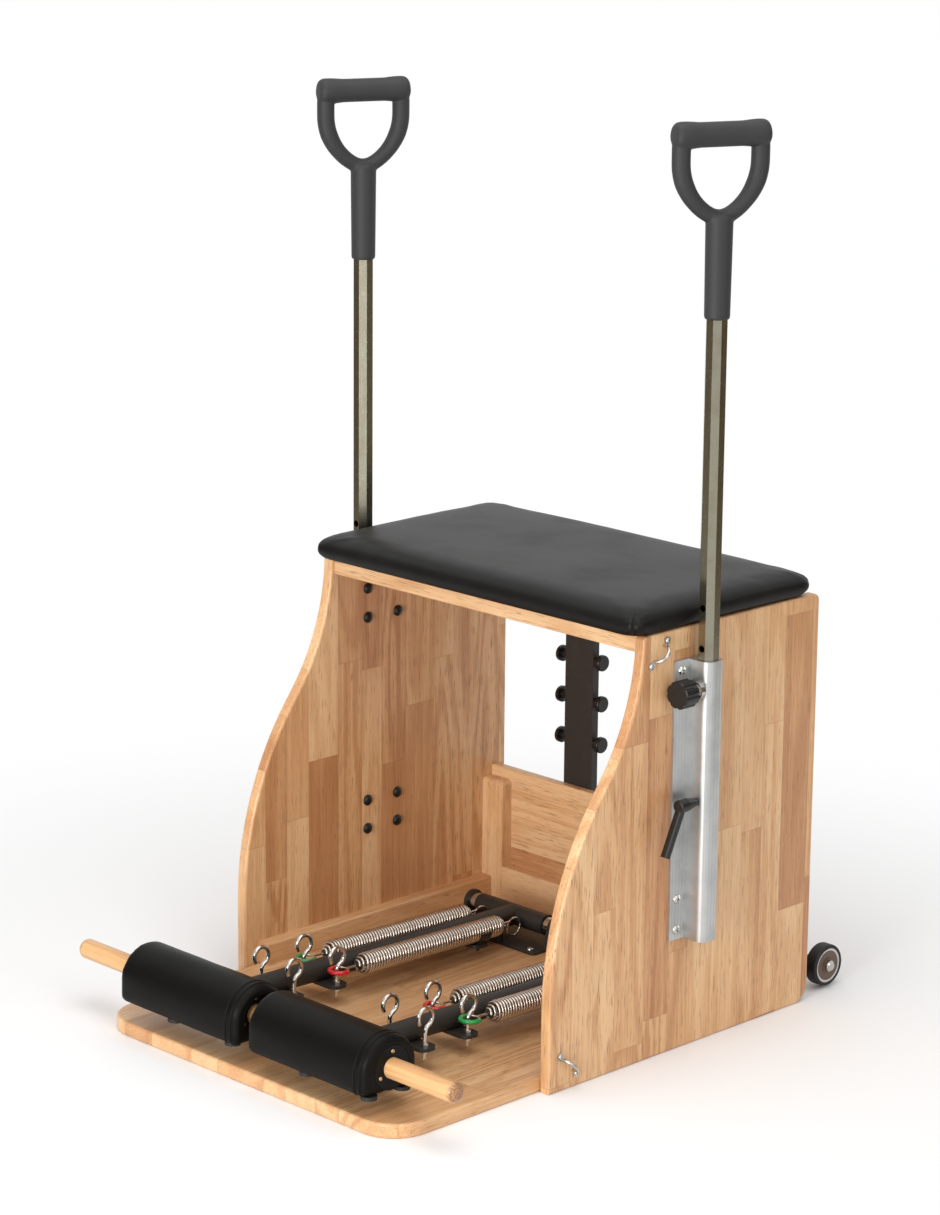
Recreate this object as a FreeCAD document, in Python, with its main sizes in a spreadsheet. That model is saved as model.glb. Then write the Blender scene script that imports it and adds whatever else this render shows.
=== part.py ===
import FreeCAD, Part
import math
import os

import Sketcher
from FreeCAD import Placement, Rotation, Vector

doc = FreeCAD.newDocument("PilatesChair")
sheet = doc.addObject("Spreadsheet::Sheet", "Sizes")

# Driving sizes in millimetres, angles in degrees, and counts. X runs across the chair, -Y is the front
# where the pedals are, and the origin lies on the floor in the middle of the wooden footing.
sizes = {
    # Side panels: straight foot, convex lower bend, concave upper bend
    "chair_width": 620,
    "footing_length": 784,
    "panel_thickness": 18,
    "panel_height": 590,
    "panel_depth": 520,
    "panel_round": 4,
    "bend_foot": 114,
    "bend_lower_radius": 463,
    "bend_turn_height": 401,
    "bend_upper_radius": 314,
    "heel_radius": 28,
    "crest_radius": 10,
    "crest_nose": 6,
    # Base board and the woodwork on it
    "base_thickness": 20,
    "base_corner": 55,
    "base_round": 4,
    "rail_thickness": 20,
    "rail_height": 32,
    "rail_setback": 26,
    "post_width": 42,
    "post_depth": 19,
    "post_height": 183,
    "post_round": 8,
    "rear_rail_height": 51,
    "rear_panel_thickness": 15,
    "rear_panel_height": 199,
    "rear_inset": 13,
    "board_round": 3,
    # Seat
    "apron_setback": 5,
    "apron_thickness": 18,
    "apron_height": 25,
    "seat_rail_height": 50,
    "seat_rail_thickness": 18,
    "seat_board_thickness": 15,
    "cushion_side_overhang": 2,
    "cushion_rear_inset": 14,
    "cushion_front_overhang": 20,
    "cushion_thickness": 37,
    "cushion_foot_inset": 12,
    "cushion_tuck": 4,
    "cushion_tuck_inset": 4,
    "cushion_belly": 13,
    "cushion_shoulder": 18,
    "cushion_crown": 2,
    "cushion_crown_inset": 80,
    "cushion_corner": 18,
    # Spring trees behind the rear panel
    "tree_width": 56,
    "tree_thickness": 12,
    "tree_foot": 90,
    "tree_top_drop": 5,
    "peg_lowest": 288,
    "peg_pitch": 62,
    "peg_count": 3,
    "peg_radius": 4,
    "peg_neck_radius": 7,
    "peg_cap_radius": 12,
    "peg_cap_thickness": 7,
    "peg_cap_reach": 44,
    "peg_cap_round": 2.5,
    # Pole brackets on the outer faces
    "pole_setback": 266,
    "pole_width": 27,
    "pole_wall": 2,
    "pole_standoff": 6,
    "pole_foot_rise": 5,
    "pole_clearance": 0.3,
    "bracket_top_drop": 42,
    "bracket_length": 388,
    "bracket_half_width": 43,
    "flange_thickness": 4,
    "housing_wall": 3.2,
    "housing_corner": 12,
    "bracket_screw_offset": 29.4,
    "bracket_screw_end": 14,
    "bracket_screw_pitch": 43,
    "bracket_screw_radius": 3,
    "bracket_screw_hole": 3.2,
    "bracket_screw_head": 6.5,
    "bracket_screw_crown": 3.6,
    "bracket_screw_edge": 1.2,
    "bracket_screw_end_reach": 3,
    "bolt_cap_radius": 8,
    "bolt_cap_height": 6,
    "bolt_cap_edge": 2,
    "bolt_cap_bore": 3.05,
    "bolt_cap_depth": 3.4,
    # Index holes, pull pin and clamp lever
    "index_drop": 39,
    "index_pitch": 55,
    "index_radius": 4.75,
    "index_above": 2,
    "index_below": 4,
    "grip_foot": 1001,
    "grip_turn": 22.5,
    "grip_sleeve_length": 134,
    "grip_sleeve_radius": 17,
    "grip_sleeve_neck": 15.8,
    "grip_socket_depth": 124,
    "grip_bar_height": 238,
    "grip_bar_half": 66,
    "grip_bar_radius": 14.5,
    "grip_bar_bulge": 16,
    "grip_bar_bulge_length": 18,
    "grip_loop_half": 56,
    "grip_loop_straight": 35,
    "grip_loop_drop": 107,
    "grip_loop_base_radius": 30,
    "grip_loop_wire": 9.5,
    "knob_face": 60,
    "knob_radius": 19,
    "knob_length": 25,
    "knob_round": 2,
    "knob_flutes": 8,
    "knob_flute_radius": 5,
    "knob_flute_depth": 2.4,
    "knob_collar_gap": 1,
    "pin_radius": 5,
    "pin_clearance": 0.3,
    "pin_nose_gap": 0.3,
    "collar_radius": 9,
    "collar_nut_radius": 12,
    "collar_nut_length": 7,
    "collar_spigot_radius": 7.5,
    "lever_drop": 193,
    "lever_hub_face": 53,
    "lever_hub_radius": 9,
    "lever_hub_length": 15,
    "lever_tail_radius": 5.5,
    "lever_tail_gap": 2,
    "lever_arm_length": 72,
    "lever_arm_width": 13,
    "lever_arm_depth": 10,
    "lever_arm_round": 4,
    "lever_lean": 25,
    "stud_radius": 4,
    # Eye straps
    "strap_upper_inset": 27.8,
    "strap_upper_drop": 26,
    "strap_lower_setback": 35,
    "strap_lower_rise": 34,
    "strap_span": 43,
    "strap_tilt": 45,
    "strap_wire": 2.4,
    "strap_bow_radius": 13,
    "strap_ear_radius": 5.5,
    "strap_ear_thickness": 2,
    "strap_screw_radius": 1.6,
    "strap_screw_length": 12,
    "strap_hole_radius": 2.4,
    "strap_hole_depth": 13,
    "strap_head_radius": 3.6,
    "strap_head_crown": 2,
    # Pivot of the pedals
    "pivot_setback": 378,
    "pivot_rise": 30,
    "pedal_tilt": 1.6,
    "axle_radius": 8,
    "axle_head_radius": 12,
    "axle_head_length": 5,
    "lug_inner": 82,
    "lug_thickness": 6,
    "lug_radius": 17,
    "lug_foot_half": 26,
    "lug_hole_clearance": 0.05,
    "plate_thickness": 4,
    "plate_front": 50,
    "plate_rear": 32,
    "plate_round": 6,
    "lip_width": 44,
    "lip_thickness": 5,
    "lip_gap": 0.3,
    "pivot_screw_radius": 2.5,
    "pivot_screw_hole": 2.7,
    "pivot_screw_depth": 12,
    "pivot_screw_head": 5.5,
    "pivot_screw_crown": 2.6,
    "pivot_screw_inset": 11,
    "spacer_radius": 13,
    "spacer_gap": 0.5,
    "fit_clearance": 0.05,
    # Pedal arm weldment
    "cross_radius": 15,
    "cross_half": 67,
    "cross_bore": 12,
    "bush_fit": 0.03,
    "bush_flange_radius": 14,
    "bush_flange": 2,
    "bush_length": 24,
    "arm_radius": 15.5,
    "arm_wall": 2.5,
    "arm_length": 578,
    "arm_bore_stop": 24,
    "tab_reach": 45,
    "tab_depth": 30,
    "tab_corner": 11,
    "tab_thickness": 5,
    "tab_drop": 12,
    "tab_clip_station": 108,
    # Hooks
    "hook_front_station": 462,
    "hook_rear_station": 383,
    "spring_offset": 34,
    "hook_wire": 3,
    "hook_hole": 3.2,
    "hook_loop_radius": 13,
    "hook_neck_radius": 10,
    "hook_loop_height": 27,
    "hook_tip_angle": 215,
    "hook_end_drop": 30,
    "nut_across": 10,
    "nut_height": 5,
    # Springs and their eyes
    "spring_height": 6,
    "spring_front": 345,
    "spring_rear": 60,
    "spring_radius": 13.5,
    "spring_wire": 1.5,
    "spring_curls": 25,
    "spring_tip_radius": 6,
    "spring_taper_curls": 2.5,
    "eye_radius": 13,
    "eye_wire": 1.8,
    "eye_setback": 4,
    "eye_stem_radius": 2,
    "eye_plug_radius": 4,
    "eye_plug_length": 9,
    "sleeve_radius": 3.1,
    "sleeve_sweep": 230,
    "rear_eye_station": 36,
    "rear_eye_drop": 9,
    "clip_gap": 0.3,
    "clip_wall": 2,
    "clip_length": 20,
    "clip_foot_half": 9,
    "clip_stud_radius": 2.5,
    "clip_stud_drop": 12,
    "clip_hole": 2.7,
    # Pads, dowels and what is on them
    "pad_gap": 46,
    "pad_side_clearance": 51,
    "pad_shift": 3,
    "pad_centre": 596,
    "pad_depth": 96,
    "pad_bottom": 21,
    "pad_height": 77,
    "pad_side_height": 40,
    "pad_foot_corner": 7,
    "pad_rim": 7,
    "pad_swell": 1.5,
    "dowel_radius": 14,
    "dowel_height": 12,
    "dowel_overhang": 62.5,
    "dowel_rest_shift": 9.5,
    "dowel_round": 9,
    "dowel_clearance": 0.3,
    "arm_clearance": 0.3,
    "end_plate_radius": 30,
    "end_plate_thickness": 3,
    "end_plate_gap": 0.3,
    "pad_foot_radius": 11,
    "pad_foot_height": 5,
    "pad_foot_inset": 19,
    "pad_foot_end": 11,
    "pad_foot_middle": 19,
    # Transport wheels
    "wheel_inset": 22,
    "wheel_trail": 60,
    "wheel_radius": 30,
    "wheel_lift": 3,
    "wheel_width": 20,
    "tyre_depth": 5,
    "tyre_round": 3.5,
    "hub_dish": 1.5,
    "hub_core_radius": 11,
    "wheel_axle_radius": 4,
    "wheel_axle_head": 8,
    "wheel_axle_head_length": 5,
    "wheel_side_gap": 1,
    "cheek_thickness": 5,
    "cheek_radius": 14,
    "cheek_plate_width": 46,
    "cheek_plate_height": 60,
    "cheek_plate_thickness": 4,
    # Cuts run past the faces that they leave by this much
    "overrun": 5,
}

# An octagon's half side as a share of its half width, and how near an edge counts as on a plane
octagon_side_share = math.tan(math.radians(22.5))
touch_share = 0.001

for row, (alias, value) in enumerate(sizes.items(), start=1):
    sheet.set(f"A{row}", alias)
    sheet.set(f"B{row}", str(value))
    sheet.setAlias(f"B{row}", alias)
doc.recompute()


class Size:
    # A number together with the formula that keeps it bound to the sheet
    def __init__(self, value, text):
        self.value = float(value)
        self.text = text

    def __float__(self):
        return self.value

    def __add__(self, other):
        return Size(self.value + float(other), f"({self.text} + {text_of(other)})")

    def __radd__(self, other):
        return Size(float(other) + self.value, f"({text_of(other)} + {self.text})")

    def __sub__(self, other):
        return Size(self.value - float(other), f"({self.text} - {text_of(other)})")

    def __rsub__(self, other):
        return Size(float(other) - self.value, f"({text_of(other)} - {self.text})")

    def __mul__(self, other):
        return Size(self.value * float(other), f"({self.text} * {text_of(other)})")

    def __rmul__(self, other):
        return self * other

    def __truediv__(self, other):
        return Size(self.value / float(other), f"({self.text} / {text_of(other)})")

    def __neg__(self):
        return self * -1

    def __abs__(self):
        return self if self.value >= 0 else -self


def text_of(value):
    return value.text if isinstance(value, Size) else repr(float(value))


def root(size):
    return Size(math.sqrt(size.value), f"sqrt({size.text})")


class Sheet:
    # Reads a size by its alias
    def __getattr__(self, alias):
        return Size(sizes[alias], f"Sizes.{alias}")


s = Sheet()
nodes = []


def node(obj, label):
    obj.Label = label
    nodes.append(obj)
    return obj


def bind(obj, path, size):
    if isinstance(size, Size):
        obj.setExpression(path, size.text)


def set_size(obj, name, size):
    setattr(obj, name, float(size))
    bind(obj, name, size)


def place(obj, x, y, z, rotation=Rotation()):
    obj.Placement = Placement(Vector(x, y, z), rotation)
    for axis, size in (("x", x), ("y", y), ("z", z)):
        bind(obj, f"Placement.Base.{axis}", size)
    return obj


def turn(axis, degrees):
    return Rotation(Vector(*axis), float(degrees))


to_x = turn((0, 1, 0), 90)
to_front = turn((1, 0, 0), 90)
to_rear = turn((1, 0, 0), -90)


# Sketches and Part Design features
def new_body(name):
    return doc.addObject("PartDesign::Body", name)


def new_sketch(body, role, lift=None):
    sketch = body.newObject("Sketcher::SketchObject", body.Name + "_sketch")
    plane = next(item for item in body.Origin.OriginFeatures if item.Role == role)
    sketch.AttachmentSupport = [(plane, "")]
    sketch.MapMode = "FlatFace"
    if lift is not None:
        sketch.AttachmentOffset = Placement(Vector(0, 0, lift), Rotation())
        bind(sketch, "AttachmentOffset.Base.z", lift)
    return sketch


def fix(sketch, constraint, size):
    index = sketch.addConstraint(constraint)
    if isinstance(size, Size):
        sketch.setExpression(f"Constraints[{index}]", size.text)


def fix_point(sketch, geometry, point, u, v):
    fix(sketch, Sketcher.Constraint("DistanceX", -1, 1, geometry, point, float(u)), u)
    fix(sketch, Sketcher.Constraint("DistanceY", -1, 1, geometry, point, float(v)), v)


def arc_edge(start, end, radius):
    # The arc of under a half circle from start to end, bent to the left where the radius is positive
    chord = end - start
    half = chord.Length / 2
    side = 1 if radius > 0 else -1
    rise = math.sqrt(max(radius * radius - half * half, 0))
    left = Vector(-chord.y, chord.x, 0).normalize()
    centre = (start + end) / 2 + left * rise * side
    circle = Part.Circle(centre, Vector(0, 0, 1), abs(radius))
    first, last = (start, end) if side > 0 else (end, start)
    return Part.ArcOfCircle(circle, circle.parameter(first), circle.parameter(last))


def trace(sketch, corners):
    # A closed outline of corners (u, v); a third value is the radius of the edge to the next corner
    first = sketch.GeometryCount
    count = len(corners)
    points = [Vector(corner[0], corner[1], 0) for corner in corners]
    ends = []
    for index, corner in enumerate(corners):
        start, end = points[index], points[(index + 1) % count]
        if len(corner) > 2:
            sketch.addGeometry(arc_edge(start, end, float(corner[2])), False)
            ends.append((1, 2) if float(corner[2]) > 0 else (2, 1))
        else:
            sketch.addGeometry(Part.LineSegment(start, end), False)
            ends.append((1, 2))
    for index, corner in enumerate(corners):
        after = (index + 1) % count
        here = first + index
        joint = Sketcher.Constraint("Coincident", here, ends[index][1], first + after, ends[after][0])
        sketch.addConstraint(joint)
        fix_point(sketch, here, ends[index][0], corner[0], corner[1])
        if len(corner) > 2:
            radius = abs(corner[2])
            fix(sketch, Sketcher.Constraint("Radius", here, float(radius)), radius)
    return sketch


def ring(sketch, u, v, radius):
    index = sketch.addGeometry(Part.Circle(Vector(u, v, 0), Vector(0, 0, 1), float(radius)), False)
    fix_point(sketch, index, 3, u, v)
    fix(sketch, Sketcher.Constraint("Radius", index, float(radius)), radius)
    return sketch


def rectangle(u0, u1, v0, v1):
    return [(u0, v0), (u1, v0), (u1, v1), (u0, v1)]


def round_rectangle(u0, u1, v0, v1, r):
    return [(u0 + r, v0), (u1 - r, v0, r), (u1, v0 + r), (u1, v1 - r, r),
            (u1 - r, v1), (u0 + r, v1, r), (u0, v1 - r), (u0, v0 + r, r)]


def octagon(u, v, half):
    side = half * octagon_side_share
    return [(u - side, v - half), (u + side, v - half), (u + half, v - side), (u + half, v + side),
            (u + side, v + half), (u - side, v + half), (u - half, v + side), (u - half, v - side)]


def pad(body, sketch, length):
    feature = body.newObject("PartDesign::Pad", body.Name + "_pad")
    feature.Profile = sketch
    set_size(feature, "Length", length)
    return feature


def turned(name, profile):
    # A solid of revolution about its own Z from corners (radius, height)
    body = new_body(name)
    sketch = trace(new_sketch(body, "XZ_Plane"), profile)
    feature = body.newObject("PartDesign::Revolution", name + "_turn")
    feature.Profile = sketch
    feature.ReferenceAxis = (sketch, ["V_Axis"])
    feature.Angle = 360
    return body


def lofted(name, role, sections, ruled):
    # A loft through closed outlines, each at its own lift from the plane
    body = new_body(name)
    sketches = [trace(new_sketch(body, role, lift), outline) for lift, outline in sections]
    feature = body.newObject("PartDesign::AdditiveLoft", name + "_loft")
    feature.Profile = sketches[0]
    feature.Sections = sketches[1:]
    feature.Ruled = ruled
    return body


def on(**planes):
    # A test for edges that lie wholly at the given coordinates
    def test(edge):
        box = edge.BoundBox
        slack = touch_share * sizes["panel_thickness"]
        for axis, size in planes.items():
            if abs(getattr(box, axis + "Min") - float(size)) > slack:
                return False
            if abs(getattr(box, axis + "Max") - float(size)) > slack:
                return False
        return True
    return test


def round_edges(body, base, radius, *tests):
    doc.recompute()
    edges = enumerate(base.Shape.Edges, start=1)
    names = [f"Edge{number}" for number, edge in edges if any(test(edge) for test in tests)]
    feature = body.newObject("PartDesign::Fillet", body.Name + "_round")
    feature.Base = (base, names)
    set_size(feature, "Radius", radius)
    return feature


def board(label, x0, x1, y0, y1, z0, z1, radius=None, *tests):
    # A straight board between six faces, with the chosen edges rounded
    body = new_body(label)
    sketch = trace(new_sketch(body, "XY_Plane"), rectangle(x0, x1, y0, y1))
    blank = pad(body, sketch, z1 - z0)
    if radius is not None:
        round_edges(body, blank, radius, *tests)
    return place(body, 0, 0, z0)


# Part primitives and booleans
def rod(name, radius, length, x, y, z, rotation=Rotation()):
    obj = doc.addObject("Part::Cylinder", name)
    set_size(obj, "Radius", radius)
    set_size(obj, "Height", length)
    return place(obj, x, y, z, rotation)


def box(name, x0, x1, y0, y1, z0, z1):
    obj = doc.addObject("Part::Box", name)
    set_size(obj, "Length", x1 - x0)
    set_size(obj, "Width", y1 - y0)
    set_size(obj, "Height", z1 - z0)
    return place(obj, x0, y0, z0)


def joined(name, parts):
    obj = doc.addObject("Part::MultiFuse", name)
    obj.Shapes = parts
    return obj


def cut(name, base, tools):
    obj = doc.addObject("Part::Cut", name)
    obj.Base = base
    obj.Tool = tools[0] if len(tools) == 1 else joined(name + "_tools", tools)
    return obj


def group(name, parts):
    obj = doc.addObject("Part::Compound", name)
    obj.Links = parts
    return obj


def solids(name, shapes):
    # A piece or group that Part's own functions make
    obj = doc.addObject("Part::Feature", name)
    obj.Shape = Part.makeCompound(shapes)
    return obj


def copies(name, master, placements):
    # Separate copies of one turned piece, each at its own placement
    doc.recompute()
    shapes = []
    for where in placements:
        shape = master.Shape.copy()
        shape.Placement = where
        shapes.append(shape)
    return solids(name, shapes)


def pipe(edges, radius):
    # A round tube along lines and tangent arcs
    path = Part.Wire(edges)
    first = path.OrderedEdges[0]
    start = first.valueAt(first.FirstParameter)
    ahead = first.tangentAt(first.FirstParameter)
    section = Part.Wire(Part.makeCircle(float(radius), start, ahead))
    return path.makePipeShell([section], True, False)


def line(start, end):
    return Part.LineSegment(start, end).toShape()


def arc_in_plane(centre, u, v, radius, start, end):
    # An arc in the plane of the unit vectors u and v, between two angles in degrees
    def at(degrees):
        angle = math.radians(degrees)
        return centre + u * (radius * math.cos(angle)) + v * (radius * math.sin(angle))
    return Part.Arc(at(start), at((start + end) / 2), at(end)).toShape()


# Places that several pieces share
sides = (("left", -1), ("right", 1))
panel_outer = s.chair_width / 2
panel_inner = panel_outer - s.panel_thickness
base_front = -s.footing_length / 2
panel_rear = s.footing_length / 2
panel_front = panel_rear - s.panel_depth
rear_back = panel_rear - s.rear_inset
rear_front = rear_back - s.rear_panel_thickness
post_front = rear_front - s.post_depth
post_inner = panel_inner - s.post_width
bend_rise = s.bend_turn_height - s.bend_foot
bend_turn = s.bend_lower_radius - root(s.bend_lower_radius * s.bend_lower_radius - bend_rise * bend_rise)
bend_ratio = s.bend_upper_radius / s.bend_lower_radius
upper_centre_y = bend_turn + (bend_turn - s.bend_lower_radius) * bend_ratio
upper_centre_z = s.bend_turn_height + bend_rise * bend_ratio
crest_rise = s.panel_height - upper_centre_z
crest_setback = upper_centre_y + root(s.bend_upper_radius * s.bend_upper_radius - crest_rise * crest_rise)
crest_front = panel_front + crest_setback
pole_half = s.pole_width / 2
pole_reach = s.flange_thickness + s.pole_standoff + pole_half
pole_x = panel_outer + pole_reach
pole_y = panel_front + s.pole_setback
housing_half = pole_half + s.pole_clearance + s.housing_wall
housing_front = pole_y - housing_half
pole_face = pole_y - pole_half
bracket_top = s.panel_height - s.bracket_top_drop
bracket_bottom = bracket_top - s.bracket_length
index_height = bracket_top - s.index_drop
lever_height = bracket_top - s.lever_drop
screw_ys = (pole_y - s.bracket_screw_offset, pole_y + s.bracket_screw_offset)
screw_zs = (bracket_bottom + s.bracket_screw_end,
            bracket_bottom + s.bracket_screw_end + s.bracket_screw_pitch,
            bracket_top - s.bracket_screw_end - s.bracket_screw_pitch,
            bracket_top - s.bracket_screw_end)
strap_half = s.strap_span / 2
straps = ((crest_front + s.strap_upper_inset, s.panel_height - s.strap_upper_drop, s.strap_tilt),
          (panel_front + s.strap_lower_setback, s.strap_lower_rise, -s.strap_tilt))
strap_ends = []
for strap_y, strap_z, tilt in straps:
    lean = math.radians(float(tilt))
    for end in (-1, 1):
        strap_ends.append((strap_y + strap_half * (end * math.cos(lean)),
                           strap_z + strap_half * (end * math.sin(lean))))
pad_inner = s.pad_gap / 2
pad_outer = panel_inner - s.pad_side_clearance
pad_length = pad_outer - pad_inner
arm_x = (pad_inner + pad_outer) / 2 - s.pad_shift
wheel_x = panel_outer - s.wheel_inset
pivot_y = panel_front + s.pivot_setback
pivot_z = s.base_thickness + s.pivot_rise
cushion_front = crest_front - s.cushion_front_overhang


# Side panels
def panel_outline():
    heel = s.heel_radius
    crest = s.crest_radius
    nose = s.crest_nose
    nose_rise = s.panel_height - nose - upper_centre_z
    nose_reach = s.bend_upper_radius + nose
    nose_out = root(nose_reach * nose_reach - nose_rise * nose_rise)
    touch = s.bend_upper_radius / nose_reach
    bend_y = panel_front + upper_centre_y
    return [(panel_front, 0),
            (panel_rear - heel, 0, heel),
            (panel_rear, heel),
            (panel_rear, s.panel_height - crest, crest),
            (panel_rear - crest, s.panel_height),
            (bend_y + nose_out, s.panel_height, nose),
            (bend_y + nose_out * touch, upper_centre_z + nose_rise * touch, -s.bend_upper_radius),
            (panel_front + bend_turn, s.bend_turn_height, s.bend_lower_radius),
            (panel_front, s.bend_foot)]


def make_panel(side, sign):
    label = f"side_panel_{side}"
    body = new_body(label + "_blank")
    sketch = trace(new_sketch(body, "YZ_Plane"), panel_outline())
    for y in screw_ys:
        for z in screw_zs:
            ring(sketch, y, z, s.bracket_screw_hole)
    blank = pad(body, sketch, s.panel_thickness)
    inside, outside = on(X=0), on(X=s.panel_thickness)
    round_edges(body, blank, s.panel_round,
                lambda edge: not edge.isClosed() and (inside(edge) or outside(edge)))
    place(body, panel_inner if sign > 0 else -panel_outer, 0, 0)
    holes = []
    for number, (y, z) in enumerate(strap_ends):
        mouth = panel_outer - s.strap_hole_depth if sign > 0 else -panel_outer - s.overrun
        holes.append(rod(f"{label}_hole{number}", s.strap_hole_radius, s.strap_hole_depth + s.overrun,
                         mouth, y, z, to_x))
    node(cut(label, body, holes), label)


# Base, rails, posts and rear panel
def make_woodwork():
    body = new_body("base_board_blank")
    corner = s.base_corner
    sketch = trace(new_sketch(body, "XY_Plane"), [
        (-panel_inner + corner, base_front),
        (panel_inner - corner, base_front, corner),
        (panel_inner, base_front + corner),
        (panel_inner, rear_back),
        (-panel_inner, rear_back),
        (-panel_inner, base_front + corner, corner)])
    pivot_holes = [(sign * arm_x + across, along) for _, sign in sides
                   for across, along in pivot_screw_places()]
    blank = pad(body, sketch, s.base_thickness)
    rounded = round_edges(body, blank, s.base_round,
                          lambda edge: edge.BoundBox.YMax < float(panel_front)
                          and edge.BoundBox.ZLength < float(s.base_round))
    body.Tip = rounded
    holes = [rod(f"base_hole{number}", s.pivot_screw_hole, s.pivot_screw_depth + s.overrun, x, y,
                 s.base_thickness - s.pivot_screw_depth)
             for number, (x, y) in enumerate(pivot_holes)]
    node(cut("base_board", body, holes), "base_board")

    floor = s.base_thickness
    rails = []
    posts = []
    for side, sign in sides:
        near, far = sorted((sign * panel_inner, sign * (panel_inner - s.rail_thickness)), key=float)
        inner = sign * (panel_inner - s.rail_thickness)
        rails.append(board(f"side_rail_{side}", near, far, panel_front + s.rail_setback, post_front,
                           floor, floor + s.rail_height, s.board_round, on(X=inner, Z=s.rail_height)))
        near, far = sorted((sign * panel_inner, sign * post_inner), key=float)
        inner = sign * post_inner
        posts.append(board(f"corner_post_{side}", near, far, post_front, rear_front,
                           floor, floor + s.post_height, s.post_round,
                           on(Y=post_front, Z=s.post_height), on(X=inner, Z=s.post_height)))
    node(group("side_rails", rails), "side_rails")
    node(group("corner_posts", posts), "corner_posts")
    rail_top = s.rear_rail_height
    node(board("rear_rail", -post_inner, post_inner, post_front, rear_front, floor, floor + rail_top,
               s.board_round, on(Y=post_front, Z=rail_top)), "rear_rail")
    panel_top = s.rear_panel_height
    node(board("rear_panel", -panel_inner, panel_inner, rear_front, rear_back, floor, floor + panel_top,
               s.board_round, on(Y=rear_front, Z=panel_top), on(Y=rear_back, Z=panel_top)), "rear_panel")


# Seat
def make_seat():
    top = s.panel_height
    front = crest_front + s.apron_setback
    behind = front + s.apron_thickness
    rail_front = rear_back - s.seat_rail_thickness
    node(board("seat_apron", -panel_inner, panel_inner, front, behind, top - s.apron_height, top,
               s.board_round, on(Y=front, Z=0)), "seat_apron")
    node(board("seat_rear_rail", -panel_inner, panel_inner, rail_front, rear_back, top - s.seat_rail_height,
               top, s.board_round, on(Y=rail_front, Z=0)), "seat_rear_rail")
    node(board("seat_board", -panel_inner, panel_inner, behind, rail_front, top - s.seat_board_thickness,
               top), "seat_board")
    half = panel_outer + s.cushion_side_overhang
    depth = panel_rear - s.cushion_rear_inset - cushion_front
    corner = s.cushion_corner
    shoulder = s.cushion_shoulder
    wall_top = s.cushion_thickness - s.cushion_crown - shoulder
    rings = [(0, s.cushion_foot_inset), (s.cushion_tuck, s.cushion_tuck_inset), (s.cushion_belly, 0)]
    shoulder_steps = 4
    for step in range(shoulder_steps + 1):
        angle = math.radians(90 * step / shoulder_steps)
        rings.append((wall_top + shoulder * math.sin(angle), shoulder * (1 - math.cos(angle))))
    rings.append((s.cushion_thickness, s.cushion_crown_inset))
    sections = [(lift, round_rectangle(inset - half, half - inset, inset, depth - inset, corner))
                for lift, inset in rings]
    cushion = lofted("seat_cushion", "XY_Plane", sections, True)
    node(place(cushion, 0, cushion_front, top), "seat_cushion")


# Spring trees with their cross pegs
def make_trees():
    reach = s.peg_cap_reach
    inner = reach - s.peg_cap_thickness
    edge = s.tree_width / 2
    cap = s.peg_cap_radius
    blunt = s.peg_cap_round
    neck = s.peg_neck_radius
    thin = s.peg_radius
    peg = turned("peg_master", [
        (0, -reach), (cap - blunt, -reach, blunt), (cap, blunt - reach), (cap, -inner), (neck, -inner),
        (neck, -edge), (thin, -edge), (thin, edge), (neck, edge), (neck, inner), (cap, inner),
        (cap, reach - blunt, blunt), (cap - blunt, reach), (0, reach)])
    middle = rear_back + s.tree_thickness / 2
    trees = []
    pegs = []
    for side, sign in sides:
        centre = sign * arm_x
        bar = board(f"tree_{side}", centre - edge, centre + edge, rear_back, rear_back + s.tree_thickness,
                    s.tree_foot, s.panel_height - s.tree_top_drop)
        holes = []
        for number in range(sizes["peg_count"]):
            height = s.peg_lowest + s.peg_pitch * number
            holes.append(rod(f"tree_{side}_hole{number}", s.peg_radius + s.fit_clearance,
                             s.tree_width + s.overrun * 2, centre - edge - s.overrun, middle, height, to_x))
            pegs.append(Placement(Vector(centre, middle, height), to_x))
        trees.append(cut(f"tree_{side}_drilled", bar, holes))
    node(group("spring_trees", trees), "spring_trees")
    node(copies("tree_pegs", peg, pegs), "tree_pegs")


# Pole brackets, their screws and the caps inside the panels
def make_bracket(side, sign):
    label = f"pole_bracket_{side}"
    body = new_body(label + "_extrusion")
    wide = s.bracket_half_width
    thick = s.flange_thickness
    house = housing_half
    outer = pole_reach + housing_half
    corner = s.housing_corner
    outline = [(0, -wide), (thick, -wide), (thick, -house), (outer - corner, -house, corner),
               (outer, corner - house), (outer, house - corner, corner), (outer - corner, house),
               (thick, house), (thick, wide), (0, wide)]
    mirrored = [(point[0] * sign, point[1], *(radius * sign for radius in point[2:])) for point in outline]
    sketch = trace(new_sketch(body, "XY_Plane"), mirrored)
    trace(sketch, octagon(pole_reach * sign, 0, pole_half + s.pole_clearance))
    pad(body, sketch, s.bracket_length)
    place(body, panel_outer * sign, pole_y, bracket_bottom)
    holes = []
    length = s.flange_thickness + s.overrun * 2
    for y in screw_ys:
        for z in screw_zs:
            start = panel_outer - s.overrun if sign > 0 else -panel_outer - s.flange_thickness - s.overrun
            holes.append(rod(f"{label}_hole{len(holes)}", s.bracket_screw_hole, length, start, y, z, to_x))
    through = s.housing_wall + s.overrun
    stud_hole = s.stud_radius + s.pin_clearance
    for z, radius in ((index_height, s.collar_spigot_radius), (lever_height, stud_hole)):
        holes.append(rod(f"{label}_hole{len(holes)}", radius, through, pole_x * sign,
                         housing_front - s.overrun, z, to_rear))
    node(cut(label, body, holes), label)


def dome(radius, crown, edge):
    # Corners of a low dome from its rim to its axis: straight edge, then one arc
    bow = (radius * radius + (crown - edge) * (crown - edge)) / ((crown - edge) * 2)
    return [(radius, edge, bow), (0, crown)]


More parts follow.
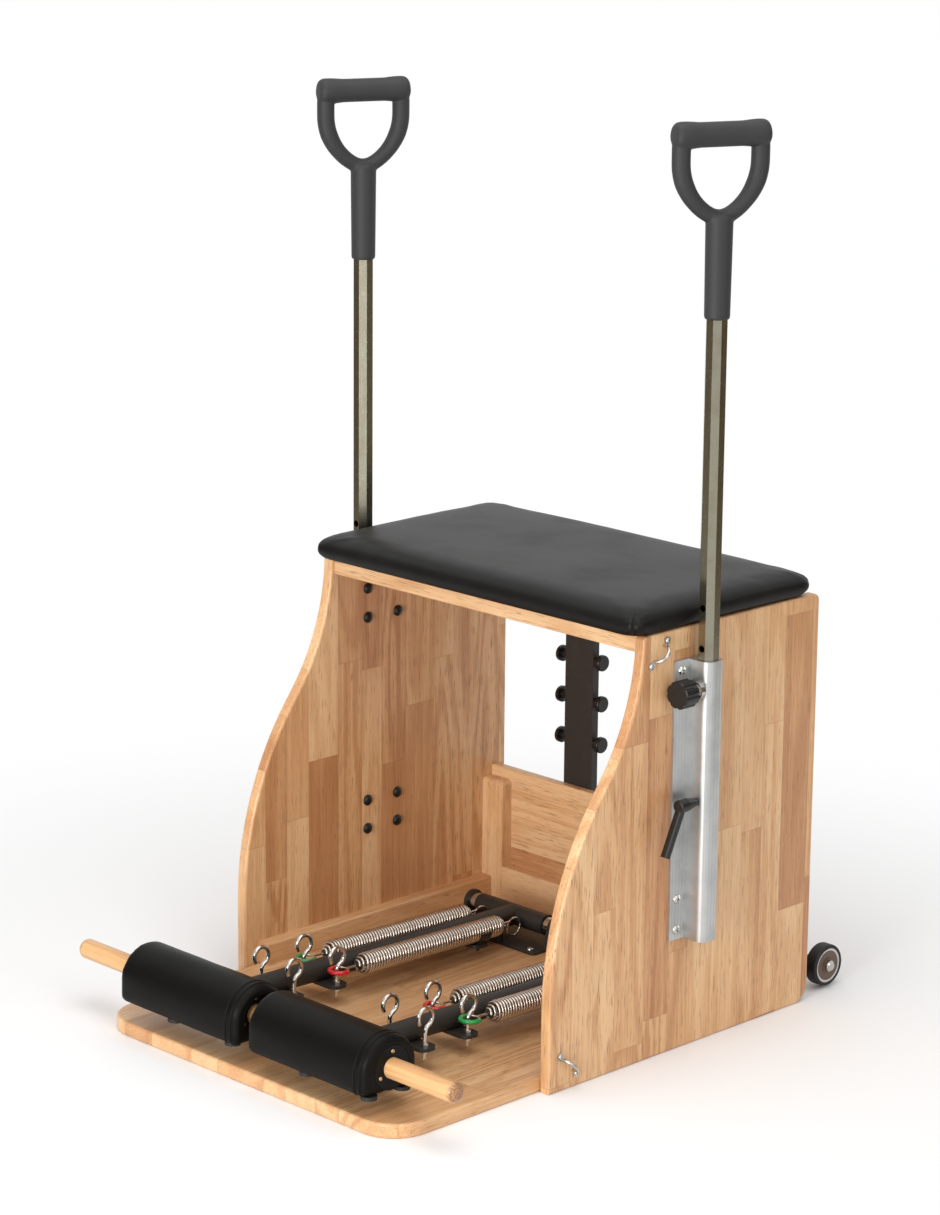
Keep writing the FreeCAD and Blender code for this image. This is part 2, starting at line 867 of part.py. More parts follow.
def make_bracket_hardware():
    grip = s.flange_thickness + s.panel_thickness + s.bracket_screw_end_reach
    shank = s.bracket_screw_radius
    screw = turned("bracket_screw_master", [
        (0, -grip), (shank, -grip), (shank, 0), (s.bracket_screw_head, 0),
        *dome(s.bracket_screw_head, s.bracket_screw_crown, s.bracket_screw_edge)])
    cap = turned("bolt_cap_master", [
        (s.bolt_cap_bore, 0), (s.bolt_cap_radius, 0),
        *dome(s.bolt_cap_radius, s.bolt_cap_height, s.bolt_cap_edge),
        (0, s.bolt_cap_depth), (s.bolt_cap_bore, s.bolt_cap_depth)])
    screws = []
    caps = []
    for _, sign in sides:
        outward = turn((0, 1, 0), 90 * sign)
        inward = turn((0, 1, 0), -90 * sign)
        for y in screw_ys:
            for z in screw_zs:
                screws.append(Placement(Vector((panel_outer + s.flange_thickness) * sign, y, z), outward))
                caps.append(Placement(Vector(panel_inner * sign, y, z), inward))
    node(copies("bracket_screws", screw, screws), "bracket_screws")
    node(copies("bolt_caps", cap, caps), "bolt_caps")


# Poles and hand grips
def make_pole(side, sign):
    label = f"pole_{side}"
    body = new_body(label + "_tube")
    sketch = trace(new_sketch(body, "XY_Plane"), octagon(0, 0, pole_half))
    trace(sketch, octagon(0, 0, pole_half - s.pole_wall))
    top = s.grip_foot + s.grip_socket_depth
    bottom = bracket_bottom + s.pole_foot_rise
    pad(body, sketch, top - bottom)
    place(body, pole_x * sign, pole_y, bottom)
    holes = []
    for step in range(-sizes["index_below"], sizes["index_above"] + 1):
        height = index_height + s.index_pitch * step
        holes.append(rod(f"{label}_hole{len(holes)}", s.index_radius, s.pole_wall + s.overrun, pole_x * sign,
                         pole_face - s.overrun, height, to_rear))
    node(cut(label, body, holes), label)


def make_grip(side, sign):
    # D-shaped loop: straight legs below the bar, a wide bend on each side and a tight one at the sleeve
    half = float(s.grip_loop_half)
    base_radius = float(s.grip_loop_base_radius)
    bar_z = float(s.grip_foot + s.grip_bar_height)
    bend_z = bar_z - float(s.grip_loop_straight)
    base_z = bar_z - float(s.grip_loop_drop) + base_radius
    across, up = Vector(0, 1, 0), Vector(0, 0, 1)
    fall = bend_z - base_z
    side_radius = (half * half + fall * fall - base_radius * base_radius) / ((half - base_radius) * 2)
    turn_angle = math.degrees(math.atan2(fall, side_radius - half))
    front_centre = across * (side_radius - half) + up * bend_z
    rear_centre = across * (half - side_radius) + up * bend_z
    loop = pipe([
        line(across * -half + up * bar_z, across * -half + up * bend_z),
        arc_in_plane(front_centre, across, up, side_radius, 180, 180 + turn_angle),
        arc_in_plane(up * base_z, across, up, base_radius, 180 + turn_angle, 360 - turn_angle),
        arc_in_plane(rear_centre, across, up, side_radius, -turn_angle, 0),
        line(across * half + up * bend_z, across * half + up * bar_z)], s.grip_loop_wire)
    bar_half = float(s.grip_bar_half)
    bulge = float(s.grip_bar_bulge)
    flare = float(s.grip_bar_bulge_length)
    slim = float(s.grip_bar_radius)
    profile = [Vector(0, -bar_half, 0), Vector(0, -bar_half, bulge), Vector(0, flare - bar_half, bulge),
               Vector(0, flare * 2 - bar_half, slim), Vector(0, bar_half - flare * 2, slim),
               Vector(0, bar_half - flare, bulge), Vector(0, bar_half, bulge), Vector(0, bar_half, 0)]
    bar = Part.Face(Part.makePolygon(profile + profile[:1])).revolve(Vector(0, 0, 0), across, 360)
    rims = [edge for edge in bar.Edges if abs(edge.BoundBox.YLength) < bulge * touch_share
            and abs(abs(edge.BoundBox.YMin) - bar_half) < bulge * touch_share]
    bar = bar.makeFillet(bulge / 2, rims)
    bar.translate(up * bar_z)
    foot = float(s.grip_foot)
    length = float(s.grip_sleeve_length)
    sleeve = Part.makeCone(float(s.grip_sleeve_neck), float(s.grip_sleeve_radius), length, up * foot, up)
    socket_half = float(pole_half + s.fit_clearance)
    corners = [Vector(u, v, foot - float(s.overrun)) for u, v in octagon(0, 0, socket_half)]
    socket = Part.Face(Part.makePolygon(corners + corners[:1]))
    socket = socket.extrude(up * float(s.grip_socket_depth + s.overrun))
    handle = loop.fuse(bar)
    handle.rotate(Vector(0, 0, 0), up, -sizes["grip_turn"])
    shape = sleeve.fuse(handle).removeSplitter().cut(socket)
    label = f"hand_grip_{side}"
    node(place(solids(label, [shape]), pole_x * sign, pole_y, 0), label)


# Pull pins with their collars, and clamp levers
def make_pin(side, sign):
    label = f"pin_knob_{side}"
    radius = s.knob_radius
    blunt = s.knob_round
    length = s.knob_length
    nose = s.knob_face - pole_half - s.pin_nose_gap
    thin = s.pin_radius
    body = turned(label, [
        (0, 0), (radius - blunt, 0, blunt), (radius, blunt), (radius, length - blunt, blunt),
        (radius - blunt, length), (thin, length), (thin, nose), (0, nose)])
    plain = body.Tip
    doc.recompute()
    groove = ring(new_sketch(body, "XY_Plane"), radius + s.knob_flute_radius - s.knob_flute_depth, 0,
                  s.knob_flute_radius)
    flute = body.newObject("PartDesign::Pocket", label + "_flute")
    flute.Profile = groove
    flute.Type = "ThroughAll"
    flute.Reversed = True
    doc.recompute()
    if flute.Shape.Volume >= plain.Shape.Volume:
        raise ValueError(f"{label} has no flute")
    flutes = body.newObject("PartDesign::PolarPattern", label + "_flutes")
    flutes.Originals = [flute]
    flutes.Axis = (groove, ["N_Axis"])
    flutes.Angle = 360
    flutes.Occurrences = sizes["knob_flutes"]
    body.Tip = flutes
    node(place(body, pole_x * sign, pole_y - s.knob_face, index_height, to_rear), label)


def make_collars():
    # The spigot fills the hole in the housing wall, the nut seats on the wall
    length = s.knob_face - s.knob_length - s.knob_collar_gap - housing_half
    bore = s.pin_radius + s.pin_clearance
    collar = turned("collar_master", [
        (bore, -s.housing_wall), (s.collar_spigot_radius, -s.housing_wall), (s.collar_spigot_radius, 0),
        (s.collar_nut_radius, 0), (s.collar_nut_radius, s.collar_nut_length),
        (s.collar_radius, s.collar_nut_length), (s.collar_radius, length), (bore, length)])
    places = [Placement(Vector(pole_x * sign, housing_front, index_height), to_front) for _, sign in sides]
    node(copies("pin_collars", collar, places), "pin_collars")


def make_lever(side, sign):
    label = f"clamp_lever_{side}"
    hub = s.lever_hub_radius
    length = s.lever_hub_length
    tail = s.lever_hub_face - housing_half - s.lever_tail_gap
    nose = s.lever_hub_face - pole_half - s.pin_nose_gap
    blunt = s.lever_arm_round / 2
    body = turned(label + "_hub", [
        (0, 0), (hub - blunt, 0, blunt), (hub, blunt), (hub, length), (s.lever_tail_radius, tail),
        (s.stud_radius, tail), (s.stud_radius, nose), (0, nose)])
    place(body, 0, 0, 0, to_rear)
    arm = new_body(label + "_arm")
    width = s.lever_arm_width / 2
    depth = s.lever_arm_depth / 2
    outline = round_rectangle(-width, width, -depth, depth, s.lever_arm_round)
    sketch = trace(new_sketch(arm, "XY_Plane"), outline)
    pad(arm, sketch, s.lever_arm_length)
    place(arm, 0, length / 2, 0, turn((1, 0, 0), 180 - s.lever_lean))
    whole = joined(label, [body, arm])
    node(place(whole, pole_x * sign, pole_y - s.lever_hub_face, lever_height), label)


# Eye straps
def make_straps():
    wire = float(s.strap_wire)
    bow = float(s.strap_bow_radius)
    ear = float(s.strap_ear_radius)
    thick = float(s.strap_ear_thickness)
    half = float(strap_half)
    along, out = Vector(1, 0, 0), Vector(0, 0, 1)
    arch = pipe([line(along * -bow, along * -bow + out * wire),
                 arc_in_plane(out * wire, along, out, bow, 180, 90),
                 arc_in_plane(out * wire, along, out, bow, 90, 0),
                 line(along * bow + out * wire, along * bow)], wire)
    strap = arch
    for end in (-1, 1):
        plate = Part.makeCylinder(ear, thick, along * (half * end))
        link = Part.makeBox(half - bow, wire * 2, thick, Vector(min(bow * end, half * end), -wire, 0))
        strap = strap.fuse([plate, link])
    for end in (-1, 1):
        strap = strap.cut(Part.makeCylinder(float(s.strap_hole_radius), thick, along * (half * end)))
    strap = strap.removeSplitter()
    screw = turned("strap_screw_master", [
        (0, -s.strap_screw_length), (s.strap_screw_radius, -s.strap_screw_length), (s.strap_screw_radius, 0),
        (s.strap_head_radius, 0), *dome(s.strap_head_radius, s.strap_head_crown, s.strap_head_crown / 4)])
    bows = []
    heads = []
    for _, sign in sides:
        for y, z, tilt in straps:
            lean = math.radians(float(tilt))
            direction = Vector(0, math.cos(lean), math.sin(lean))
            outward = Vector(sign, 0, 0)
            facing = Rotation(direction, outward.cross(direction), outward, "ZXY")
            shape = strap.copy()
            shape.Placement = Placement(Vector(panel_outer * sign, y, z), facing)
            bows.append(shape)
        for y, z in strap_ends:
            head = Vector((panel_outer + s.strap_ear_thickness) * sign, y, z)
            heads.append(Placement(head, turn((0, 1, 0), 90 * sign)))
    node(solids("eye_straps", bows), "eye_straps")
    node(copies("eye_strap_screws", screw, heads), "eye_strap_screws")


# Pivot brackets, axles, spacers and screws
def pivot_screw_places():
    # Places of one bracket's screws: across from its arm, and along Y
    across = s.lug_inner - s.pivot_screw_inset
    return [(across * side, pivot_y + along) for side in (-1, 1)
            for along in (s.pivot_screw_inset - s.plate_front, s.plate_rear - s.pivot_screw_inset)]


def make_pivots():
    floor = s.base_thickness
    reach = s.lug_inner + s.lug_thickness
    tilt = math.radians(float(s.pedal_tilt))
    lip_y = pivot_y - s.plate_front
    lip_back = s.plate_front - s.lip_thickness
    arm_under = pivot_z + lip_back * math.tan(tilt) - s.arm_radius / math.cos(tilt)
    lip_top = arm_under - s.lip_gap
    brackets = []
    axles = []
    for side, sign in sides:
        x = arm_x * sign
        name = f"pivot_{side}"
        plate = new_body(name + "_plate")
        sketch = trace(new_sketch(plate, "XY_Plane"), round_rectangle(
            x - reach, x + reach, pivot_y - s.plate_front, pivot_y + s.plate_rear, s.plate_round))
        pad(plate, sketch, s.plate_thickness)
        place(plate, 0, 0, floor)
        pieces = [plate]
        lip_half = s.lip_width / 2
        pieces.append(box(name + "_lip", x - lip_half, x + lip_half, lip_y, lip_y + s.lip_thickness,
                          floor, lip_top))
        for number, start in enumerate((x - reach, x + s.lug_inner)):
            lug = new_body(f"{name}_lug{number}")
            sketch = trace(new_sketch(lug, "YZ_Plane"), lug_outline(floor))
            ring(sketch, pivot_y, pivot_z, s.axle_radius + s.lug_hole_clearance)
            pad(lug, sketch, s.lug_thickness)
            pieces.append(place(lug, start, 0, 0))
        holes = [rod(f"{name}_hole{number}", s.pivot_screw_hole, s.plate_thickness + s.overrun * 2,
                     x + across, y, floor - s.overrun)
                 for number, (across, y) in enumerate(pivot_screw_places())]
        brackets.append(cut(name + "_drilled", joined(name + "_welded", pieces), holes))
        head = s.axle_head_length
        thick = s.axle_head_radius
        axle = turned(name + "_axle", [
            (0, -reach - head), (thick, -reach - head), (thick, -reach), (s.axle_radius, -reach),
            (s.axle_radius, reach), (thick, reach), (thick, reach + head), (0, reach + head)])
        axles.append(place(axle, x, pivot_y, pivot_z, to_x))
    node(group("pivot_brackets", brackets), "pivot_brackets")
    node(group("pivot_axles", axles), "pivot_axles")

    start = s.cross_half + s.bush_flange + s.spacer_gap
    bore = s.axle_radius + s.fit_clearance
    width = s.lug_inner - start
    spacer = turned("spacer_master", [
        (bore, 0), (s.spacer_radius, 0), (s.spacer_radius, width), (bore, width)])
    places = [Placement(Vector(arm_x * sign + (start if end > 0 else -s.lug_inner), pivot_y, pivot_z), to_x)
              for _, sign in sides for end in (-1, 1)]
    node(copies("pivot_spacers", spacer, places), "pivot_spacers")

    depth = s.plate_thickness + s.pivot_screw_depth - s.pivot_screw_crown / 2
    screw = turned("pivot_screw_master", [
        (0, -depth), (s.pivot_screw_radius, -depth), (s.pivot_screw_radius, 0), (s.pivot_screw_head, 0),
        *dome(s.pivot_screw_head, s.pivot_screw_crown, s.pivot_screw_crown / 4)])
    places = [Placement(Vector(arm_x * sign + across, y, floor + s.plate_thickness), Rotation())
              for _, sign in sides for across, y in pivot_screw_places()]
    node(copies("pivot_screws", screw, places), "pivot_screws")


def lug_outline(floor):
    # Upright plate whose top is a half circle about the pivot, drawn as two arcs
    front, rear = pivot_y - s.lug_radius, pivot_y + s.lug_radius
    return [(pivot_y - s.lug_foot_half, floor), (pivot_y + s.lug_foot_half, floor),
            (pivot_y + s.lug_foot_half, floor + s.plate_thickness), (rear, pivot_z, s.lug_radius),
            (pivot_y, pivot_z + s.lug_radius, s.lug_radius), (front, pivot_z),
            (pivot_y - s.lug_foot_half, floor + s.plate_thickness)]


# Pedals. Their pieces are drawn about the pivot, with the arm along -Y, and then set at the rest tilt
def on_pedal(obj, sign, label):
    rest = turn((1, 0, 0), -s.pedal_tilt)
    return node(place(obj, arm_x * sign, pivot_y, pivot_z, rest), label)


def make_arm(side, sign):
    label = f"pedal_arm_{side}"
    pieces = [rod(label + "_tube", s.arm_radius, s.arm_length, 0, 0, 0, to_front),
              rod(label + "_cross", s.cross_radius, s.cross_half * 2, -s.cross_half, 0, 0, to_x)]
    tools = [rod(label + "_bore", s.arm_radius - s.arm_wall, s.arm_length, 0, -s.arm_bore_stop, 0, to_front),
             rod(label + "_axle_bore", s.cross_bore, s.cross_half * 2 + s.overrun * 2,
                 -s.cross_half - s.overrun, 0, 0, to_x)]
    low = -s.tab_drop - s.tab_thickness
    stations = ((s.hook_front_station, s.hook_hole), (s.hook_rear_station, s.hook_hole),
                (s.tab_clip_station, s.clip_hole))
    for number, (station, hole) in enumerate(stations):
        tab = new_body(f"{label}_tab{number}")
        half = s.tab_depth / 2
        sketch = trace(new_sketch(tab, "XY_Plane"), round_rectangle(
            -s.tab_reach, s.tab_reach, -station - half, half - station, s.tab_corner))
        pad(tab, sketch, s.tab_thickness)
        pieces.append(place(tab, 0, 0, low))
        for end in (-1, 1):
            tools.append(rod(f"{label}_tab{number}_hole{end + 1}", hole, s.tab_thickness + s.overrun * 2,
                             s.spring_offset * end, -station, low - s.overrun))
    on_pedal(cut(label, joined(label + "_welded", pieces), tools), sign, label)


def make_bushes(side, sign):
    outer = s.cross_bore - s.bush_fit
    bore = s.axle_radius + s.fit_clearance
    label = f"pivot_bushes_{side}"
    bushes = []
    for end, facing in ((-1, turn((0, 1, 0), -90)), (1, to_x)):
        bush = turned(f"{label}_{'inner' if end < 0 else 'outer'}", [
            (bore, -s.bush_length), (outer, -s.bush_length), (outer, 0), (s.bush_flange_radius, 0),
            (s.bush_flange_radius, s.bush_flange), (bore, s.bush_flange)])
        bushes.append(place(bush, s.cross_half * end, 0, 0, facing))
    on_pedal(group(label, bushes), sign, label)


def hook_shape():
    # Question-mark hook in the YZ plane: shank, neck arc, then the loop round to its tip
    loop = float(s.hook_loop_radius)
    neck = float(s.hook_neck_radius)
    height = float(s.hook_loop_height)
    back, up = Vector(0, 1, 0), Vector(0, 0, 1)
    swing = math.degrees(math.acos(neck / (neck + loop)))
    bend = height - (neck + loop) * math.sin(math.radians(swing))
    centre = up * height
    tip = float(s.hook_tip_angle)
    middle = (tip - swing) / 2
    edges = [line(up * -float(s.hook_end_drop), up * bend),
             arc_in_plane(back * neck + up * bend, back, up, neck, 180, 180 - swing),
             arc_in_plane(centre, back, up, loop, -swing, middle),
             arc_in_plane(centre, back, up, loop, middle, tip)]
    return pipe(edges, s.hook_wire)


def nut_shape():
    radius = float(s.nut_across / 2) / math.cos(math.radians(30))
    angles = [math.radians(60 * step) for step in range(7)]
    corners = [Vector(radius * math.cos(angle), radius * math.sin(angle), 0) for angle in angles]
    prism = Part.Face(Part.makePolygon(corners)).extrude(Vector(0, 0, float(s.nut_height)))
    return prism.cut(Part.makeCylinder(float(s.hook_wire + s.fit_clearance), float(s.nut_height)))


def make_hooks(side, sign):
    hook, nut = hook_shape(), nut_shape()
    shapes = []
    for station in (s.hook_front_station, s.hook_rear_station):
        for end in (-1, 1):
            base = Vector(s.spring_offset * end, -station, 0)
            for master, lift in ((hook, 0), (nut, -s.tab_drop),
                                 (nut, -s.tab_drop - s.tab_thickness - s.nut_height)):
                shape = master.copy()
                shape.translate(base + Vector(0, 0, lift))
                shapes.append(shape)
    label = f"spring_hooks_{side}"
    on_pedal(solids(label, shapes), sign, label)


def spring_point(turns):
    # Point of the winding after so many turns, along +Y, with both ends drawn in
    curls = sizes["spring_curls"]
    taper = sizes["spring_taper_curls"]
    ends = min(turns, curls - turns) / taper
    ease = min(max(ends, 0), 1)
    ease = ease * ease * (3 - 2 * ease)
    tip, full = float(s.spring_tip_radius), float(s.spring_radius)
    radius = tip + (full - tip) * ease
    length = float(s.spring_front - s.spring_rear) - 2 * float(s.spring_wire)
    angle = 2 * math.pi * turns
    return Vector(radius * math.cos(angle), length * turns / curls, radius * math.sin(angle))


def biarc(start, ahead, end, beyond):
    # Two arcs that leave start along one tangent and reach end along the other
    chord = end - start
    sum_of_tangents = ahead + beyond
    spread = 2 * (1 - ahead.dot(beyond))
    along = chord.dot(sum_of_tangents)
    reach = (math.sqrt(along * along + spread * chord.dot(chord)) - along) / spread
    joint = (start + end + (ahead - beyond) * reach) / 2
    return [tangent_arc(start, ahead, joint), tangent_arc(end, beyond * -1, joint, True)]


def tangent_arc(start, ahead, end, flip=False):
    chord = end - start
    side = chord - ahead * chord.dot(ahead)
    half_angle = math.atan2(side.Length, chord.dot(ahead))
    radius = chord.Length / (2 * math.sin(half_angle))
    side.normalize()
    middle = start + ahead * (radius * math.sin(half_angle)) + side * (radius * (1 - math.cos(half_angle)))
    points = (end, middle, start) if flip else (start, middle, end)
    return Part.Arc(*points).toShape()


def spring_shape():
    # One unbroken tube: straight ends, and two biarcs to each curl
    curls = sizes["spring_curls"]
    step_share = 0.0005
    stations = [half / 2 for half in range(2 * curls + 1)]
    tangents = []
    for turns in stations:
        tangents.append((spring_point(turns + step_share) - spring_point(turns - step_share)).normalize())
    points = [spring_point(turns) for turns in stations]
    straight = 2 * float(s.spring_wire)
    edges = [line(points[0] - tangents[0] * straight, points[0])]
    for index in range(len(points) - 1):
        edges += biarc(points[index], tangents[index], points[index + 1], tangents[index + 1])
    edges.append(line(points[-1], points[-1] + tangents[-1] * straight))
    samples = []
    per_edge = 5
    for edge in edges:
        samples += edge.discretize(per_edge)[:-1]
    apart = per_edge * 3
    gap = min((first - second).Length for index, first in enumerate(samples)
              for second in samples[index + apart:])
    print(f"spring: {curls} curls, least gap to itself {gap - straight:.2f} mm")
    return pipe(edges, s.spring_wire)


def eye_shape(centre, axis, stem_end, forward):
    # Wire ring with a stem that runs into the winding and ends in a plug there
    wire = float(s.eye_wire)
    ring_shape = Part.makeTorus(float(s.eye_radius), wire, centre, axis)
    stem_start = centre + forward * float(s.eye_radius)
    inward = stem_end - stem_start
    stem = Part.makeCylinder(float(s.eye_stem_radius), inward.Length, stem_start, inward)
    plug = Part.makeCylinder(float(s.eye_plug_radius), float(s.eye_plug_length), stem_end, inward)
    return ring_shape.fuse([stem, plug])


def make_springs(side, sign, winding):
    label = f"springs_{side}"
    shapes = []
    height = float(s.spring_height)
    wire = float(s.spring_wire)
    inside = float(s.eye_plug_length)
    for end in (-1, 1):
        x = float(s.spring_offset) * end
        coil = winding.copy()
        coil.translate(Vector(x, wire - float(s.spring_front), height))
        front = Vector(x, float(s.eye_setback - s.hook_rear_station), height)
        front_eye = eye_shape(front, Vector(0, 0, 1), Vector(x, -float(s.spring_front) + inside / 2, height),
                              Vector(0, 1, 0))
        drop = float(s.rear_eye_drop)
        lead = math.sqrt(float(s.eye_radius) ** 2 - drop ** 2)
        rear = Vector(x, -float(s.rear_eye_station), height - drop)
        toward = Vector(0, -lead, drop) * (1 / float(s.eye_radius))
        rear_eye = eye_shape(rear, Vector(1, 0, 0), Vector(x, -float(s.spring_rear) - inside / 2, height),
                             toward)
        shapes += [coil, front_eye, rear_eye]
    on_pedal(solids(label, shapes), sign, label)


def make_sleeves(side, sign):
    # Coloured sleeves round the front eyes: red on the inner spring, green on the outer
    for colour, end in (("red", -sign), ("green", sign)):
        label = f"sleeve_{colour}_{side}"
        centre = Vector(s.spring_offset * end, s.eye_setback - s.hook_rear_station, s.spring_height)
        sweep = sizes["sleeve_sweep"]
        up = Vector(0, 0, 1)
        outer = Part.makeTorus(float(s.eye_radius), float(s.sleeve_radius), centre, up, -180, 180, sweep)
        inner = Part.makeTorus(float(s.eye_radius), float(s.eye_wire + s.fit_clearance), centre, up)
        sleeve = outer.cut(inner)
        sleeve.rotate(centre, up, 270 - sweep / 2)
        on_pedal(solids(label, [sleeve]), sign, label)


def make_clips(side, sign):
    # Half-round saddles under the springs, on the rear tab, each with a stud through it
    label = f"spring_clips_{side}"
    bore = s.spring_radius + s.spring_wire + s.clip_gap
    outer = bore + s.clip_wall
    foot = s.clip_foot_half
    bottom = -s.tab_drop - s.spring_height
    clips = []
    for end in (-1, 1):
        name = f"{label}_{'inner' if end < 0 else 'outer'}"
        saddle = new_body(name)
        low = root(outer * outer - foot * foot)
        sketch = trace(new_sketch(saddle, "XZ_Plane"), [
            (-foot, bottom), (foot, bottom), (foot, -low, outer), (outer, 0), (bore, 0, -bore),
            (0, -bore, -bore), (-bore, 0), (-outer, 0, outer), (-foot, -low)])
        pad(saddle, sketch, s.clip_length)
        x = s.spring_offset * end
        place(saddle, x, s.clip_length / 2 - s.tab_clip_station, s.spring_height)
        stud = rod(name + "_stud", s.clip_stud_radius, s.clip_stud_drop + s.clip_wall / 2, x,
                   -s.tab_clip_station, -s.tab_drop - s.clip_stud_drop)
        clips.append(joined(name + "_whole", [saddle, stud]))
    on_pedal(group(label, clips), sign, label)


def pad_section(grow):
    # Upright end outline of a pad: flat foot, straight sides and a crown of one arc
    half = s.pad_depth / 2 + grow
    foot = s.pad_foot_corner
    low = -s.pad_bottom
    side_top = low + s.pad_side_height
    middle = s.pad_centre
    top = s.pad_height - s.pad_bottom + grow
    rise = top - side_top
    crown = (half * half + rise * rise) / (rise * 2)
    return [(foot - half - middle, low), (half - foot - middle, low, foot), (half - middle, low + foot),
            (half - middle, side_top, crown), (-middle, top, crown), (-half - middle, side_top),
            (-half - middle, low + foot, foot)]


def make_pad(side, sign):
    label = f"pedal_pad_{side}"
    half = pad_length / 2
    shift = s.pad_shift * sign
    sections = [(shift - half, pad_section(0)), (shift - half + s.pad_rim, pad_section(-s.pad_swell)),
                (shift, pad_section(0)), (shift + half - s.pad_rim, pad_section(-s.pad_swell)),
                (shift + half, pad_section(0))]
    body = lofted(label + "_blank", "YZ_Plane", sections, False)
    plate = s.end_plate_radius + s.end_plate_gap
    deep = s.end_plate_thickness
    through = pad_length + s.overrun * 2
    tools = [rod(label + "_dowel_bore", s.dowel_radius + s.dowel_clearance, through, shift - half - s.overrun,
                 -s.pad_centre, s.dowel_height, to_x),
             rod(label + "_socket", s.arm_radius + s.arm_clearance, s.arm_length / 2, 0,
                 s.arm_length / 2 - s.arm_length - s.arm_clearance, 0, to_front)]
    for number, start in enumerate((shift - half - s.overrun, shift + half - deep)):
        tools.append(rod(f"{label}_recess{number}", plate, deep + s.overrun, start, -s.pad_centre,
                         s.dowel_height, to_x))
    on_pedal(cut(label, body, tools), sign, label)

    label = f"pad_end_plates_{side}"
    plates = []
    for number, start in enumerate((shift - half, shift + half - deep)):
        disc = turned(f"{label}_{number}", [
            (s.dowel_radius + s.dowel_clearance, 0), (s.end_plate_radius, 0), (s.end_plate_radius, deep),
            (s.dowel_radius + s.dowel_clearance, deep)])
        plates.append(place(disc, start, -s.pad_centre, s.dowel_height, to_x))
    on_pedal(group(label, plates), sign, label)

    label = f"pad_feet_{side}"
    feet = []
    for across in (-s.pad_foot_middle, half - s.pad_foot_end):
        for along in (s.pad_foot_inset - s.pad_depth / 2, s.pad_depth / 2 - s.pad_foot_inset):
            feet.append(rod(f"{label}_{len(feet)}", s.pad_foot_radius, s.pad_foot_height, shift + across,
                            along - s.pad_centre, -s.pad_bottom - s.pad_foot_height))
    on_pedal(group(label, feet), sign, label)


# One long dowel through both pads
def make_dowel():
    half = panel_outer + s.dowel_overhang
    blunt = s.dowel_round
    radius = s.dowel_radius
    dowel = turned("pedal_dowel_rod", [
        (0, -half), (radius - blunt, -half, blunt), (radius, blunt - half), (radius, half - blunt, blunt),
        (radius - blunt, half), (0, half)])
    place(dowel, -s.dowel_rest_shift, -s.pad_centre, s.dowel_height, to_x)
    on_pedal(group("pedal_dowel", [dowel]), 0, "pedal_dowel")


# Transport wheels
def make_wheels():
    axle_z = s.wheel_radius + s.wheel_lift
    axle_y = panel_rear + s.wheel_trail
    half = s.wheel_width / 2
    rim = s.wheel_radius - s.tyre_depth
    blunt = s.tyre_round
    core = s.hub_core_radius
    bore = s.wheel_axle_radius + s.fit_clearance
    head = s.wheel_axle_head
    brackets = []
    axles = []
    for side, sign in sides:
        centre = wheel_x * sign
        tyre = turned(f"wheel_tyre_{side}", [
            (rim, -half), (s.wheel_radius - blunt, -half, blunt), (s.wheel_radius, blunt - half),
            (s.wheel_radius, half - blunt, blunt), (s.wheel_radius - blunt, half), (rim, half)])
        node(place(tyre, centre, axle_y, axle_z, to_x), f"wheel_tyre_{side}")
        web = half - s.hub_dish
        hub = turned(f"wheel_hub_{side}", [
            (bore, -half), (core, -half), (core, -web), (rim, -web), (rim, web), (core, web), (core, half),
            (bore, half)])
        node(place(hub, centre, axle_y, axle_z, to_x), f"wheel_hub_{side}")
        cheek_far = wheel_x - half - s.wheel_side_gap
        cheek_near = cheek_far - s.cheek_thickness
        cheek = new_body(f"wheel_cheek_{side}")
        grip = s.cheek_radius
        sketch = trace(new_sketch(cheek, "YZ_Plane"), [
            (rear_back, axle_z - grip), (axle_y, axle_z - grip, grip), (axle_y + grip, axle_z, grip),
            (axle_y, axle_z + grip), (rear_back, axle_z + grip)])
        ring(sketch, axle_y, axle_z, bore)
        pad(cheek, sketch, s.cheek_thickness)
        place(cheek, cheek_near if sign > 0 else -cheek_far, 0, 0)
        edges = sorted((sign * cheek_far, sign * (cheek_far - s.cheek_plate_width)), key=float)
        low = s.base_thickness
        plate = box(f"wheel_plate_{side}", *edges, rear_back, rear_back + s.cheek_plate_thickness, low,
                    low + s.cheek_plate_height)
        brackets.append(joined(f"wheel_bracket_{side}", [cheek, plate]))
        tip = wheel_x + half + s.wheel_side_gap
        reach = tip - cheek_near
        radius = s.wheel_axle_radius
        axle = turned(f"wheel_axle_{side}", [
            (0, 0), (radius, 0), (radius, reach), (head, reach), (head, reach + s.wheel_axle_head_length / 2),
            (head - s.wheel_axle_head_length / 2, reach + s.wheel_axle_head_length),
            (0, reach + s.wheel_axle_head_length)])
        axles.append(place(axle, cheek_near * sign, axle_y, axle_z, turn((0, 1, 0), 90 * sign)))
    node(group("wheel_brackets", brackets), "wheel_brackets")
    node(group("wheel_axles", axles), "wheel_axles")


make_woodwork()
make_seat()
make_trees()
make_bracket_hardware()
make_collars()
make_straps()
make_pivots()
make_wheels()
make_dowel()
winding = spring_shape()
for side, sign in sides:
    make_panel(side, sign)
    make_bracket(side, sign)
    make_pole(side, sign)
    make_grip(side, sign)
    make_pin(side, sign)
    make_lever(side, sign)
    make_arm(side, sign)
    make_bushes(side, sign)
    make_hooks(side, sign)
    make_springs(side, sign, winding)
    make_sleeves(side, sign)
    make_clips(side, sign)
    make_pad(side, sign)
doc.recompute()

